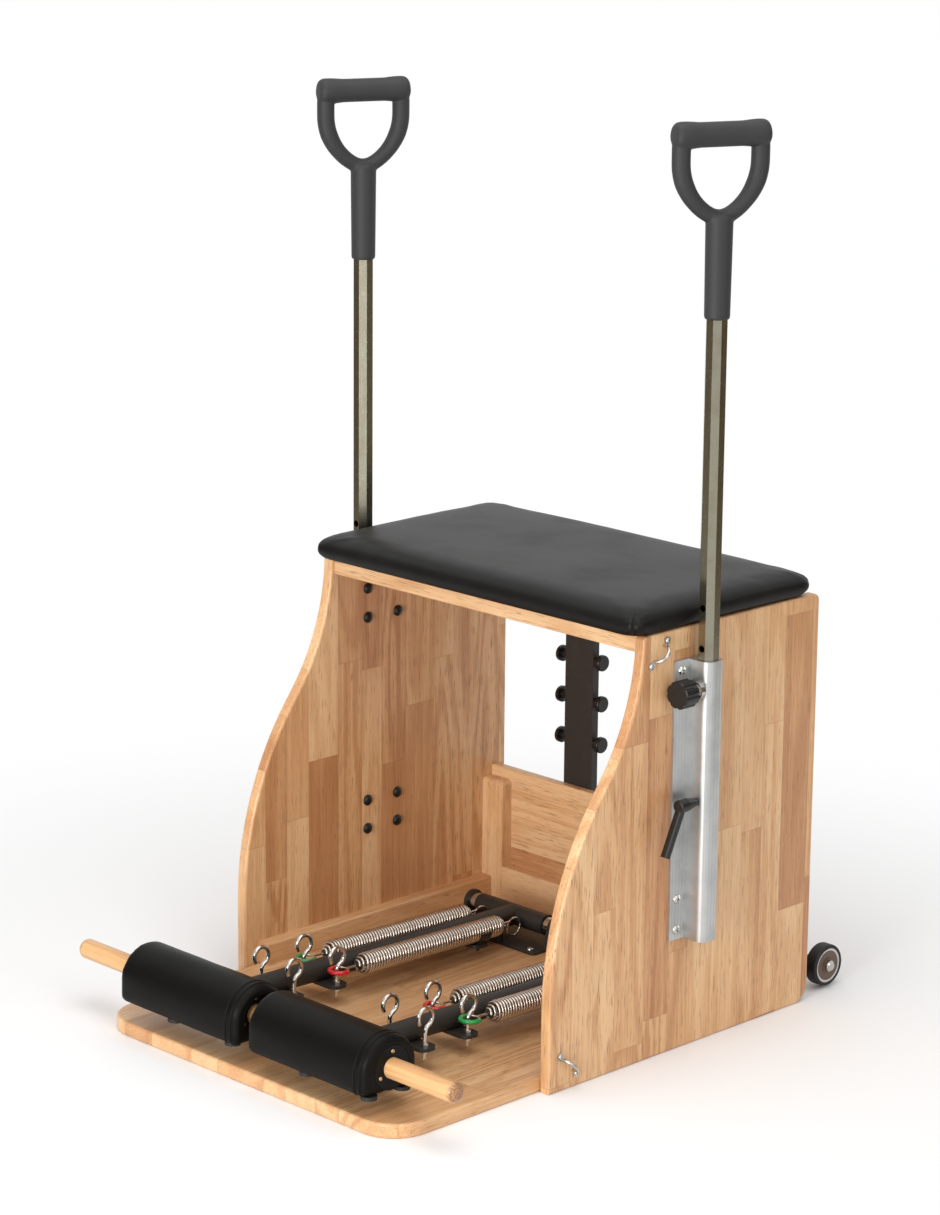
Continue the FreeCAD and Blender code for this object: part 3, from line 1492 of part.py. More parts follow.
# Nothing is written unless every object of the document is sound
faults = [obj.Name for obj in doc.Objects if "Invalid" in obj.State or "Error" in obj.State]
faults += [obj.Label for obj in nodes if obj.Shape.isNull() or not obj.Shape.isValid()]
if faults:
    raise ValueError(f"unsound: {faults}")
os.makedirs("parts", exist_ok=True)
for obj in nodes:
    obj.Shape.exportStep(f"parts/{obj.Label}.step")
print(f"{len(nodes)} nodes")
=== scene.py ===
import math

import bmesh
import bpy
import numpy as np
from mathutils import Matrix, Vector, noise


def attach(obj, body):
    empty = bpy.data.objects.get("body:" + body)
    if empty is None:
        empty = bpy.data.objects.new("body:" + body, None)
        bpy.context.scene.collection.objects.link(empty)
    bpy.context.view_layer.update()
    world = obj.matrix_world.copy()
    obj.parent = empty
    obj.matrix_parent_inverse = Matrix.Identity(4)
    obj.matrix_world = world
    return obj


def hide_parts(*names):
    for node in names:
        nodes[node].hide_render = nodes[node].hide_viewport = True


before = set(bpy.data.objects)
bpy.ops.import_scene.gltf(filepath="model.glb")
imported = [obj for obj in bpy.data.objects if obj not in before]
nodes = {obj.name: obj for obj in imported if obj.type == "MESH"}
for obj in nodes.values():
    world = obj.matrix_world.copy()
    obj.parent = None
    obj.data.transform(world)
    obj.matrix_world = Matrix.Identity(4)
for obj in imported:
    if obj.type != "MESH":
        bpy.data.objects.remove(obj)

scene = bpy.context.scene
scene.view_settings.view_transform = "Standard"
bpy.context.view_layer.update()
sides = (("left", -1), ("right", 1))
corners = ((1, 1), (-1, 1), (-1, -1), (1, -1))  # of a rectangle, in turn
cadWeld = 1e-5  # joins the loose triangles of a CAD node's mesh
print("frame loaded:", len(nodes), "nodes")


# A node graph: arithmetic on a wire adds Math nodes, anything else comes from node()
class Wire:
    def __init__(self, graph, socket):
        self.graph = graph
        self.socket = socket

    def __add__(self, other):
        return self.graph.maths("ADD", self, other)

    def __radd__(self, other):
        return self.graph.maths("ADD", other, self)

    def __sub__(self, other):
        return self.graph.maths("SUBTRACT", self, other)

    def __rsub__(self, other):
        return self.graph.maths("SUBTRACT", other, self)

    def __mul__(self, other):
        return self.graph.maths("MULTIPLY", self, other)

    def __rmul__(self, other):
        return self.graph.maths("MULTIPLY", other, self)

    def __truediv__(self, other):
        return self.graph.maths("DIVIDE", self, other)

    def __rtruediv__(self, other):
        return self.graph.maths("DIVIDE", other, self)


class Graph:
    def __init__(self, tree):
        self.tree = tree

    def node(self, kind, settings=None, sockets=None, out=0):
        made = self.tree.nodes.new(kind)
        for name, value in (settings or {}).items():
            if name == "stops":
                self.setStops(made.color_ramp, value)
            else:
                setattr(made, name, value)
        for name, value in (sockets or {}).items():
            socket = self.find(made.inputs, name)
            for one in value if isinstance(value, list) else [value]:
                if isinstance(one, Wire):
                    self.tree.links.new(one.socket, socket)
                else:
                    socket.default_value = one
        return Wire(self, self.find(made.outputs, out))

    def find(self, sockets, name):
        if isinstance(name, int):
            return sockets[name]
        return next(s for s in sockets if s.identifier == name or s.name == name)

    def setStops(self, ramp, stops):
        ramp.elements[0].position = stops[0][0]
        ramp.elements[1].position = stops[-1][0]
        for place, _ in stops[1:-1]:
            ramp.elements.new(place)
        for element, (_, colour) in zip(ramp.elements, stops):
            element.color = colour

    def maths(self, operation, *values):
        return self.node("ShaderNodeMath", {"operation": operation}, dict(enumerate(values)))

    def smooth(self, value, low, high):
        return self.node("ShaderNodeMapRange", {"interpolation_type": "SMOOTHSTEP"},
                         {"Value": value, "From Min": low, "From Max": high})

    def vector(self, x, y, z):
        return self.node("ShaderNodeCombineXYZ", None, {"X": x, "Y": y, "Z": z})

    def parts(self, vector):
        return [self.node("ShaderNodeSeparateXYZ", None, {"Vector": vector}, k) for k in "XYZ"]

    def noise(self, vector, scale, detail=2.0, rough=0.5, distort=0.0):
        return self.node("ShaderNodeTexNoise", None, {
            "Vector": vector, "Scale": scale, "Detail": detail, "Roughness": rough, "Distortion": distort})

    def chance(self, x, y, z):
        return self.node("ShaderNodeTexWhiteNoise", None, {"Vector": self.vector(x, y, z)}, "Value")

    def blend(self, factor, first, second):
        return self.node("ShaderNodeMix", {"data_type": "RGBA"}, {
            "Factor_Float": factor, "A_Color": first, "B_Color": second}, "Result_Color")


class Finish(Graph):
    def __init__(self, name, **constants):
        self.material = bpy.data.materials.new(name)
        self.material.use_nodes = True
        super().__init__(self.material.node_tree)
        self.tree.nodes.clear()
        self.shader = self.tree.nodes.new("ShaderNodeBsdfPrincipled")
        result = self.tree.nodes.new("ShaderNodeOutputMaterial")
        self.tree.links.new(self.shader.outputs[0], result.inputs[0])
        self.set(**constants)
        self.place = self.node("ShaderNodeTexCoord", None, None, "Object")

    def set(self, **values):
        for name, value in values.items():
            title = "".join(" " + c if c.isupper() else c for c in name).strip().title()
            socket = self.find(self.shader.inputs, title.replace("Ior", "IOR"))
            if isinstance(value, Wire):
                self.tree.links.new(value.socket, socket)
            else:
                socket.default_value = value

    def axes(self):
        return self.parts(self.place)

    def bump(self, height, strength, distance):
        self.set(normal=self.node("ShaderNodeBump", None, {
            "Height": height, "Strength": strength, "Distance": distance}))


# A Geometry Nodes tree with named inputs, whose result is kept as a plain mesh
class Recipe(Graph):
    kinds = {float: "NodeSocketFloat", int: "NodeSocketInt"}

    def __init__(self, name, **inputs):
        super().__init__(bpy.data.node_groups.new(name, "GeometryNodeTree"))
        self.inputs = inputs
        face = self.tree.interface
        face.new_socket("Result", in_out="OUTPUT", socket_type="NodeSocketGeometry")
        face.new_socket("Host", in_out="INPUT", socket_type="NodeSocketGeometry")
        for title, value in inputs.items():
            kind = self.kinds.get(type(value))
            if kind is None:
                kind = "NodeSocketMaterial" if isinstance(value, bpy.types.Material) else "NodeSocketObject"
            face.new_socket(title, in_out="INPUT", socket_type=kind)
        self.given = self.tree.nodes.new("NodeGroupInput")

    def input(self, title):
        return Wire(self, self.find(self.given.outputs, title))

    def tube(self, path, radius, sides=8):
        ring = self.node("GeometryNodeCurvePrimitiveCircle", None, {"Resolution": sides, "Radius": radius})
        return self.node("GeometryNodeCurveToMesh", None, {
            "Curve": path, "Profile Curve": ring, "Fill Caps": True})

    def move(self, geometry, place, turn=(0.0, 0.0, 0.0)):
        return self.node("GeometryNodeTransform", None, {
            "Geometry": geometry, "Translation": place, "Rotation": turn})

    def make(self, name, geometry, host=None):
        whole = self.node("GeometryNodeRealizeInstances", None, {"Geometry": geometry})
        soft = self.node("GeometryNodeSetShadeSmooth", None, {"Geometry": whole, "Shade Smooth": True})
        clad = self.node("GeometryNodeSetMaterial", None, {
            "Geometry": soft, "Material": self.input("material")})
        end = self.tree.nodes.new("NodeGroupOutput")
        self.tree.links.new(clad.socket, end.inputs[0])
        piece = newPiece(name, host or bpy.data.meshes.new(name))
        modifier = piece.modifiers.new(name, "NODES")
        modifier.node_group = self.tree
        for item in self.tree.interface.items_tree:
            if item.in_out == "INPUT" and item.name in self.inputs:
                modifier[item.identifier] = self.inputs[item.name]
        return settle(piece)


def tint(red, green, blue):
    # a colour as it is read off a screen, made linear
    share = [c / 255 for c in (red, green, blue)]
    return (*[c / 12.92 if c <= 0.04045 else ((c + 0.055) / 1.055) ** 2.4 for c in share], 1.0)


# Plain mesh helpers, in metres
def newPiece(name, mesh, finish=None):
    piece = bpy.data.objects.new(name, mesh)
    scene.collection.objects.link(piece)
    if finish:
        mesh.materials.clear()
        mesh.materials.append(finishes[finish])
    return piece


def settle(piece):
    # the modifiers' result becomes the piece's own mesh
    bpy.context.view_layer.update()
    made = bpy.data.meshes.new_from_object(piece.evaluated_get(bpy.context.evaluated_depsgraph_get()))
    piece.modifiers.clear()
    piece.data = made
    return piece


def modify(piece, kind, **settings):
    modifier = piece.modifiers.new(kind, kind)
    for name, value in settings.items():
        setattr(modifier, name, value)
    return settle(piece)


def tidyMesh(mesh, weld=1e-6):
    work = bmesh.new()
    work.from_mesh(mesh)
    bmesh.ops.remove_doubles(work, verts=work.verts, dist=weld)
    bmesh.ops.recalc_face_normals(work, faces=work.faces)
    for face in work.faces:
        face.smooth = True
    work.to_mesh(mesh)
    work.free()
    return mesh


def loft(name, loops, ends=True):
    # skin over loops of equal count; without ends the last loop meets the first
    count, rows = len(loops[0]), len(loops)
    faces = []
    for row in range(rows - 1 if ends else rows):
        low, high = row * count, (row + 1) % rows * count
        for k in range(count):
            n = (k + 1) % count
            faces.append((low + k, low + n, high + n, high + k))
    if ends:
        faces += [tuple(range(count)), tuple(range((rows - 1) * count, rows * count))]
    mesh = bpy.data.meshes.new(name)
    mesh.from_pydata([tuple(p) for loop in loops for p in loop], [], faces)
    return tidyMesh(mesh)


def turned(name, profile, segments):
    # a profile of (radius, height) turned about Z
    angles = np.linspace(0, 2 * math.pi, segments, endpoint=False)
    return loft(name, [[(r * math.cos(a), r * math.sin(a), h) for a in angles] for r, h in profile])


def points(mesh):
    found = np.empty(len(mesh.vertices) * 3)
    mesh.vertices.foreach_get("co", found)
    return found.reshape(-1, 3)


def setPoints(mesh, found):
    mesh.vertices.foreach_set("co", found.ravel())
    mesh.update()


def normals(mesh):
    found = np.empty(len(mesh.vertices) * 3)
    mesh.vertex_normals.foreach_get("vector", found)
    return found.reshape(-1, 3)


def carve(piece, tools):
    for tool in tools:
        modifier = piece.modifiers.new("carve", "BOOLEAN")
        modifier.operation = "DIFFERENCE"
        modifier.solver = "EXACT"
        modifier.object = tool
    settle(piece)
    for tool in tools:
        bpy.data.objects.remove(tool)
    return piece


airFill = {"frames": 20, "quality": 5}  # length and fineness of the run that fills a cover


def inflate(piece, held, push, limit):
    # air fills the cover; held points stay and no point moves further than limit
    start = points(piece.data)
    group = piece.vertex_groups.new(name="held")
    group.add([int(k) for k in np.nonzero(held)[0]], 1.0, "REPLACE")
    cloth = piece.modifiers.new("cover", "CLOTH")
    cover = cloth.settings
    cover.quality = airFill["quality"]
    cover.use_pressure = True
    cover.uniform_pressure_force = push
    cover.vertex_group_mass = "held"
    cover.effector_weights.gravity = 0.0
    cloth.point_cache.frame_start, cloth.point_cache.frame_end = 1, airFill["frames"]
    for number in range(1, airFill["frames"] + 1):
        scene.frame_set(number)
    settle(piece)
    scene.frame_set(1)
    step = points(piece.data) - start
    reach = np.linalg.norm(step, axis=1, keepdims=True)
    setPoints(piece.data, start + step * np.minimum(1.0, limit / np.maximum(reach, 1e-9)))
    piece.vertex_groups.clear()
    return piece


def islands(node):
    # lowest and highest corner of the box around each loose part of a CAD node
    work = bmesh.new()
    work.from_mesh(nodes[node].data)
    bmesh.ops.remove_doubles(work, verts=work.verts, dist=cadWeld)
    left, found = set(work.verts), []
    while left:
        group, edge = [], [left.pop()]
        while edge:
            vert = edge.pop()
            group.append(vert.co.copy())
            near = {e.other_vert(vert) for e in vert.link_edges} & left
            left -= near
            edge.extend(near)
        found.append((np.min(group, axis=0), np.max(group, axis=0)))
    work.free()
    return sorted(found, key=lambda pair: tuple(np.round(pair[0], 4)))


# Honey wood: glued staves, each with its own tone, figure and pores
staveWood = {
    "tones": [(0.0, tint(225, 184, 138)), (0.3, tint(210, 162, 114)),
              (0.62, tint(190, 137, 92)), (1.0, tint(168, 114, 73))],  # from pale to brown
    "pore": tint(120, 78, 48),
    "width": 0.047, "length": 0.42, "wave": 0.006, "waveRate": 37.0,  # the wave makes the widths differ
    "boardDepth": 0.5,  # panels on the two sides have staves of their own
    "stagger": 7.0, "drift": 9.0,  # how far each row's joints and each stave's pattern are moved
    "figureScale": (1.5, 12.0, 7.0), "figureLines": (34.0, 30.0), "figureEdge": (-0.5, 1.1),
    "fibreScale": (5.0, 300.0), "cloudScale": (4.0, 22.0), "poreScale": (38.0, 760.0),  # along, then across
    "poreEdge": (0.58, 0.70), "poreTone": (0.34, 0.30),
    "staveTone": 0.72, "figureTone": 0.36, "fibreTone": 0.78, "cloudTone": 0.6, "startTone": 0.07,
    "sideGlue": (0.004, 0.016), "endGlue": (0.0006, 0.002), "glueTone": 0.26,
    "roughness": 0.36, "relief": 0.0005,
}


def woodFinish(name, order, seed, staves=True, shift=0.0, contrast=1.0):
    # order names the axes along the grain, across the staves and through the board
    wood = Finish(name, coatWeight=0.22, coatRoughness=0.22, specularIorLevel=0.45)
    found = dict(zip("XYZ", wood.axes()))
    along, across, deep = (found[k] for k in order)
    board = wood.maths("FLOOR", deep / staveWood["boardDepth"])
    wavy = across + wood.maths("SINE", across * staveWood["waveRate"] + seed) * staveWood["wave"]
    row = wood.maths("FLOOR", wavy / staveWood["width"]) if staves else board
    run = along / staveWood["length"] + wood.chance(row, board, seed) * staveWood["stagger"]
    stave = wood.maths("FLOOR", run) if staves else row
    kind = wood.chance(row, stave, board * 3.1 + seed)
    other = wood.chance(stave, row, board * 5.7 + seed)
    drift = kind * staveWood["drift"]

    def streaks(scale, detail, rough=0.5):
        spot = wood.vector(along * scale[0], across * scale[1] + drift, deep * scale[1])
        return wood.noise(spot, 1.0, detail, rough)

    # growth figure: level lines of a field drawn out along the grain
    grain, width, depth = staveWood["figureScale"]
    field = wood.vector(along * grain + drift, across * width + drift, deep * depth + drift * 2.0)
    few, more = staveWood["figureLines"]
    figure = wood.maths("SINE", wood.noise(field, 1.0, 1.6, 0.45, 0.35) * (few + other * more))
    figure = wood.smooth(figure, *staveWood["figureEdge"]) * (0.25 + other * 0.75)
    fibre = streaks(staveWood["fibreScale"], 3.0, 0.65)
    grain, width = staveWood["cloudScale"]
    cloud = wood.noise(wood.vector(along * grain + drift, across * width, deep * width), 1.0)
    pores = wood.smooth(streaks(staveWood["poreScale"], 1.0), *staveWood["poreEdge"])
    # each stave's own tone, then the streaks over it
    tone = kind * kind * staveWood["staveTone"] * contrast + shift + figure * staveWood["figureTone"]
    tone = tone + (fibre - 0.5) * staveWood["fibreTone"] + (cloud - 0.5) * staveWood["cloudTone"]
    tone = tone + staveWood["startTone"]
    colour = wood.node("ShaderNodeValToRGB", {"stops": staveWood["tones"]}, {"Fac": tone})
    few, more = staveWood["poreTone"]
    colour = wood.blend(pores * (few + other * more), colour, staveWood["pore"])
    if staves:
        side = wood.maths("PINGPONG", wavy / staveWood["width"], 0.5)
        end = wood.maths("PINGPONG", run, 0.5)
        side, end = (1 - wood.smooth(gap, *staveWood[k]) for gap, k in ((side, "sideGlue"), (end, "endGlue")))
        glue = wood.maths("MAXIMUM", side, end)
        colour = wood.blend(glue * staveWood["glueTone"], colour, staveWood["pore"])
    wood.set(baseColor=colour, roughness=staveWood["roughness"] + fibre * 0.10 + pores * 0.08)
    wood.bump(fibre * 0.5 - pores * 0.7 + figure * 0.15, 0.16, staveWood["relief"])
    return wood.material


# Dowel: one pale turned rod with darker end grain
dowel = {
    "middle": -0.0095, "tip": (0.3615, 0.3695),  # where the end grain starts and is full, from the middle
    "tones": [(0.0, tint(220, 176, 124)), (0.55, tint(204, 154, 102)), (1.0, tint(176, 124, 76))],
    "dash": tint(150, 100, 62), "endGrain": tint(118, 72, 44),
    # along the rod, then across it
    "fibreScale": (11.0, 420.0), "figureScale": (2.2, 46.0), "dashScale": (60.0, 1300.0),
    "figureLines": 36.0, "figureEdge": (-0.3, 1.0), "dashEdge": (0.62, 0.74),
    "ringScale": 60.0, "ringLines": 60.0, "ringEdge": (-0.2, 1.0), "roughness": 0.34, "relief": 0.0004,
}


def dowelFinish():
    rod = Finish("dowelWood", coatWeight=0.25, coatRoughness=0.25, specularIorLevel=0.45)
    x, y, z = rod.axes()

    def streaks(scale, detail, rough=0.5, distort=0.0):
        spot = rod.vector(x * scale[0], y * scale[1], z * scale[1])
        return rod.noise(spot, 1.0, detail, rough, distort)

    fibre = streaks(dowel["fibreScale"], 2.0, 0.6)
    field = streaks(dowel["figureScale"], 1.5, 0.5, 0.3)
    figure = rod.smooth(rod.maths("SINE", field * dowel["figureLines"]), *dowel["figureEdge"])
    dashes = rod.smooth(streaks(dowel["dashScale"], 1.0), *dowel["dashEdge"])
    tip = rod.smooth(rod.maths("ABSOLUTE", x - dowel["middle"]), *dowel["tip"])
    tone = figure * 0.4 + (fibre - 0.5) * 0.6 + 0.22
    colour = rod.node("ShaderNodeValToRGB", {"stops": dowel["tones"]}, {"Fac": tone})
    colour = rod.blend(dashes * 0.3, colour, dowel["dash"])
    growth = rod.noise(rod.vector(0.0, y * dowel["ringScale"], z * dowel["ringScale"]), 1.0, 1.0)
    rings = rod.smooth(rod.maths("SINE", growth * dowel["ringLines"]), *dowel["ringEdge"])
    colour = rod.blend(tip * (0.58 + rings * 0.32), colour, dowel["endGrain"])
    rod.set(baseColor=colour, roughness=dowel["roughness"] + fibre * 0.12 - tip * 0.08)
    rod.bump(fibre * 0.6 - dashes * 0.5, 0.15, dowel["relief"])
    return rod.material


# Black leather: fine pebbled hide with a soft sheen, and painted shade in the creases between the pebbles
hideGrain = {
    "ripples": 260.0, "ripple": 0.0016,  # how far the pebbles' outlines wander
    "pebbles": 900.0, "pebbleEdge": (0.0, 0.22), "fine": 2400.0, "creaseShade": tint(7, 7, 6),
    "wear": 11.0, "wearEdge": (0.42, 0.78), "relief": 0.0004,
}


def leatherFinish(name, black, worn, roughness, specular):
    hide = Finish(name, specularIorLevel=specular)
    ripple = hide.node("ShaderNodeTexNoise", None, {
        "Vector": hide.place, "Scale": hideGrain["ripples"]}, "Color")
    ripple = hide.node("ShaderNodeVectorMath", {"operation": "SCALE"}, {
        0: ripple, "Scale": hideGrain["ripple"]})
    warped = hide.node("ShaderNodeVectorMath", {"operation": "ADD"}, {0: hide.place, 1: ripple})
    cells = hide.node("ShaderNodeTexVoronoi", {"feature": "DISTANCE_TO_EDGE"}, {
        "Vector": warped, "Scale": hideGrain["pebbles"]}, "Distance")
    pebble = hide.smooth(cells, *hideGrain["pebbleEdge"])
    fine = hide.noise(hide.place, hideGrain["fine"])
    wear = hide.smooth(hide.noise(hide.place, hideGrain["wear"], 4.0, 0.6), *hideGrain["wearEdge"])
    colour = hide.blend(wear * 0.5, black, worn)
    # the creases between the pebbles are painted darker: painted shade in the creases
    colour = hide.blend((1 - pebble) * 0.4, colour, hideGrain["creaseShade"])
    hide.set(baseColor=colour, roughness=roughness + wear * 0.06 - pebble * 0.05 + fine * 0.05)
    hide.bump(pebble * 0.7 + fine * 0.2, 0.16, hideGrain["relief"])
    return hide.material


# Bare metal: cloudy patches and dull spots over a fine or a brushed grain, with painted shade in pressed
# grooves
metalGrain = {
    "patches": 34.0, "patchEdge": (0.35, 0.75), "spots": 160.0, "spotEdge": (0.56, 0.8),
    "fine": 700.0, "brushed": (14.0, 900.0),  # along and across the drawing lines
    "grooveEdge": (0.05, 0.14), "relief": 0.0002,
}


def metalFinish(name, colour, dull, rough, brushed=None, grime=0.25, level=0.12, grooves=0.0):
    # brushed gives the axis that the drawing lines follow, grooves the pitch of pressed lines across Y
    metal = Finish(name, metallic=1.0)
    patch = metal.noise(metal.place, metalGrain["patches"], 4.0, 0.6)
    if brushed:
        along, across = metalGrain["brushed"]
        drawn = [axis * (along if k == brushed else across) for k, axis in zip("XYZ", metal.axes())]
        grain = metal.noise(metal.vector(*drawn), 1.0, 2.0, 0.6)
    else:
        grain = metal.noise(metal.place, metalGrain["fine"], 3.0)
    spots = metal.smooth(metal.noise(metal.place, metalGrain["spots"], 5.0, 0.7), *metalGrain["spotEdge"])
    cloudy = metal.smooth(patch, *metalGrain["patchEdge"])
    tone = metal.blend(cloudy * 0.6 + spots * grime, colour, dull)
    height = grain
    if grooves:
        gap = metal.maths("PINGPONG", metal.axes()[1] / grooves, 0.5)
        line = 1 - metal.smooth(gap, *metalGrain["grooveEdge"])
        height = grain - line * 2.0
        # the pressed grooves are also painted towards the darker tone: painted shade in the grooves
        tone = metal.blend(line * 0.6, tone, dull)
    metal.set(baseColor=tone, roughness=rough + (grain - 0.5) * 0.14 + patch * 0.08 + spots * 0.12)
    metal.bump(height, level, metalGrain["relief"])
    return metal.material


# Moulded plastic, rubber and powder coat: a fine skin with faint scuffs
skinWear = {"scuffs": 42.0, "scuffEdge": (0.5, 0.82), "coatRoughness": 0.2, "relief": 0.0003}


def paintFinish(name, colour, worn, rough, texture, level, coat=0.0, specular=0.45):
    skin = Finish(name, coatWeight=coat, coatRoughness=skinWear["coatRoughness"], specularIorLevel=specular)
    grain = skin.noise(skin.place, texture, 3.0, 0.6)
    scuff = skin.smooth(skin.noise(skin.place, skinWear["scuffs"], 6.0, 0.7), *skinWear["scuffEdge"])
    tone = skin.blend(scuff * 0.5 + (grain - 0.5) * 0.25, colour, worn)
    skin.set(baseColor=tone, roughness=rough + (grain - 0.5) * 0.2 + scuff * 0.1)
    skin.bump(grain, level, skinWear["relief"])
    return skin.material


# Wheel hub: a brown face with a pale rim ring, measured from the axle
wheel = {
    "axle": (0.452, 0.033), "rim": (0.0214, 0.0219), "face": tint(98, 78, 64), "ring": tint(214, 211, 206),
    "stain": tint(66, 52, 44), "grain": 500.0, "relief": 0.0003,
}


def wheelFinish():
    hub = Finish("hubPlastic", specularIorLevel=0.45)
    _, y, z = hub.axes()
    y, z = y - wheel["axle"][0], z - wheel["axle"][1]
    reach = hub.maths("SQRT", y * y + z * z)
    grain = hub.noise(hub.place, wheel["grain"], 3.0)
    colour = hub.blend(hub.smooth(reach, *wheel["rim"]), wheel["face"], wheel["ring"])
    colour = hub.blend((grain - 0.4) * 0.5, colour, wheel["stain"])
    hub.set(baseColor=colour, roughness=0.34 + grain * 0.16)
    hub.bump(grain, 0.12, wheel["relief"])
    return hub.material


finishes = {
    "panelWood": woodFinish("panelWood", "ZYX", 2.0, contrast=0.85),
    "baseWood": woodFinish("baseWood", "YXZ", 5.0, shift=0.04, contrast=0.7),
    "rearWood": woodFinish("rearWood", "XZY", 8.0, shift=-0.16, contrast=0.8),
    "railWood": woodFinish("railWood", "YXZ", 11.0, staves=False, shift=-0.05),
    "postWood": woodFinish("postWood", "ZXY", 14.0, staves=False, shift=-0.1),
    "rearRailWood": woodFinish("rearRailWood", "XZY", 23.0, staves=False, shift=-0.3),
    "apronWood": woodFinish("apronWood", "XZY", 17.0, staves=False, shift=-0.05),
    "dowelWood": dowelFinish(),
    "seatLeather": leatherFinish("seatLeather", tint(14, 13, 12), tint(22, 21, 20),
                                 roughness=0.40, specular=0.18),
    "padLeather": leatherFinish("padLeather", tint(12, 11, 9), tint(20, 18, 16),
                                roughness=0.42, specular=0.10),
    "blackSteel": paintFinish("blackSteel", tint(40, 38, 35), tint(62, 58, 54),
                              rough=0.46, texture=520.0, level=0.12),
    "zincSteel": metalFinish("zincSteel", tint(203, 200, 194), tint(160, 154, 146), rough=0.17),
    "springSteel": metalFinish("springSteel", tint(196, 187, 176), tint(172, 161, 149),
                               rough=0.2, grime=0.05, level=0.004),
    "anodised": metalFinish("anodised", tint(196, 197, 196), tint(172, 173, 172),
                            rough=0.36, brushed="Z", grime=0.1, level=0.16, grooves=0.0062),
    "champagne": metalFinish("champagne", tint(152, 148, 131), tint(132, 125, 107),
                             rough=0.2, brushed="Z", grime=0.1, level=0.05),
    "charcoalPlastic": paintFinish("charcoalPlastic", tint(40, 40, 40), tint(50, 50, 50),
                                   rough=0.6, texture=1400.0, level=0.2),
    "blackPlastic": paintFinish("blackPlastic", tint(20, 19, 18), tint(36, 34, 32),
                                rough=0.36, texture=1100.0, level=0.1),
    "blackRubber": paintFinish("blackRubber", tint(22, 21, 20), tint(40, 38, 36),
                               rough=0.6, texture=800.0, level=0.25),
    "brass": metalFinish("brass", tint(196, 170, 118), tint(150, 124, 80), rough=0.26),
    "plateBlack": paintFinish("plateBlack", tint(10, 10, 9), tint(20, 19, 17),
                              rough=0.46, texture=800.0, level=0.12, specular=0.14),
    "redSleeve": paintFinish("redSleeve", tint(206, 22, 30), tint(232, 70, 70),
                             rough=0.28, texture=700.0, level=0.06, coat=0.3),
    "greenSleeve": paintFinish("greenSleeve", tint(8, 148, 66), tint(60, 184, 104),
                               rough=0.28, texture=700.0, level=0.06, coat=0.3),
    "hubPlastic": wheelFinish(),
}
print("finishes made:", len(finishes))

wearers = {
    "panelWood": ["side_panel_left", "side_panel_right"],
    "baseWood": ["base_board", "seat_board"],
    "rearWood": ["rear_panel"],
    "rearRailWood": ["rear_rail"],
    "railWood": ["side_rails"],
    "postWood": ["corner_posts"],
    "apronWood": ["seat_apron", "seat_rear_rail"],
    "dowelWood": ["pedal_dowel"],
    "seatLeather": ["seat_cushion"],
    "padLeather": ["pedal_pad_left", "pedal_pad_right"],
    "blackSteel": ["spring_trees", "pedal_arm_left", "pedal_arm_right", "pivot_brackets", "wheel_brackets"],
    "zincSteel": ["bracket_screws", "eye_straps", "eye_strap_screws", "pivot_axles", "pivot_screws",
                  "pivot_spacers", "spring_hooks_left", "spring_hooks_right", "pin_collars", "wheel_axles"],
    "springSteel": ["springs_left", "springs_right"],
    "anodised": ["pole_bracket_left", "pole_bracket_right"],
    "champagne": ["pole_left", "pole_right"],
    "charcoalPlastic": ["hand_grip_left", "hand_grip_right"],
    "blackPlastic": ["pin_knob_left", "pin_knob_right", "clamp_lever_left", "clamp_lever_right", "tree_pegs",
                     "bolt_caps", "spring_clips_left", "spring_clips_right", "pivot_bushes_left",
                     "pivot_bushes_right"],
    "blackRubber": ["pad_feet_left", "pad_feet_right", "wheel_tyre_left", "wheel_tyre_right"],
    "plateBlack": ["pad_end_plates_left", "pad_end_plates_right"],
    "redSleeve": ["sleeve_red_left", "sleeve_red_right"],
    "greenSleeve": ["sleeve_green_left", "sleeve_green_right"],
    "hubPlastic": ["wheel_hub_left", "wheel_hub_right"],
}
for finish, names in wearers.items():
    for name in names:
        if not nodes[name].material_slots:
            nodes[name].data.materials.append(finishes[finish])
        for slot in nodes[name].material_slots:
            slot.material = finishes[finish]
undressed = sorted(set(nodes) - {name for names in wearers.values() for name in names})
print("nodes dressed, left out:", undressed)


# Seat cushion: a box cushion, simulated full of air, with a folded pleat at each corner
seat = {
    "half": (0.312, 0.1794), "middle": (0.0, 0.1986), "foot": 0.590, "corner": 0.020, "cornerGrowth": 0.7,
    # lift and inset of each ring
    "rings": [(0.0, 0.010), (0.003, 0.004), (0.008, 0.001), (0.016, 0.0), (0.022, 0.0010), (0.028, 0.0045),
              (0.0320, 0.0105), (0.0345, 0.020), (0.0355, 0.036), (0.0362, 0.080)],
    "slack": 0.002, "voxel": 0.0056, "heldShare": 0.6, "push": 4.0, "limit": 0.0024, "fullHeight": 0.0385,
    "edgeDrop": 0.03, "cornerDrop": 0.08,  # shares of the height
    "pleatDepth": 0.0024, "pleatWidth": 0.0030, "pleatAngle": 50, "pleatZone": 0.010,
    "lipPlace": 0.0062, "lipWidth": 0.0042, "lipHeight": 0.0006,  # the raised edge beside the pleat
    "fineZone": (-0.012, 0.03),  # around a corner's centre, cut finer for the pleat
    "pressStart": 0.15, "pleatTop": (0.86, 0.35), "lipTop": (0.95, 0.4),  # shares of the height
    "crumple": 0.0006, "crumpleScale": (34, 34, 20), "crumpleBand": (0.55, 0.3),
    "sag": 0.0007, "sagScale": (7, 7, 0), "sagSpot": (5, 0, 2), "flatFoot": 0.0025,
}


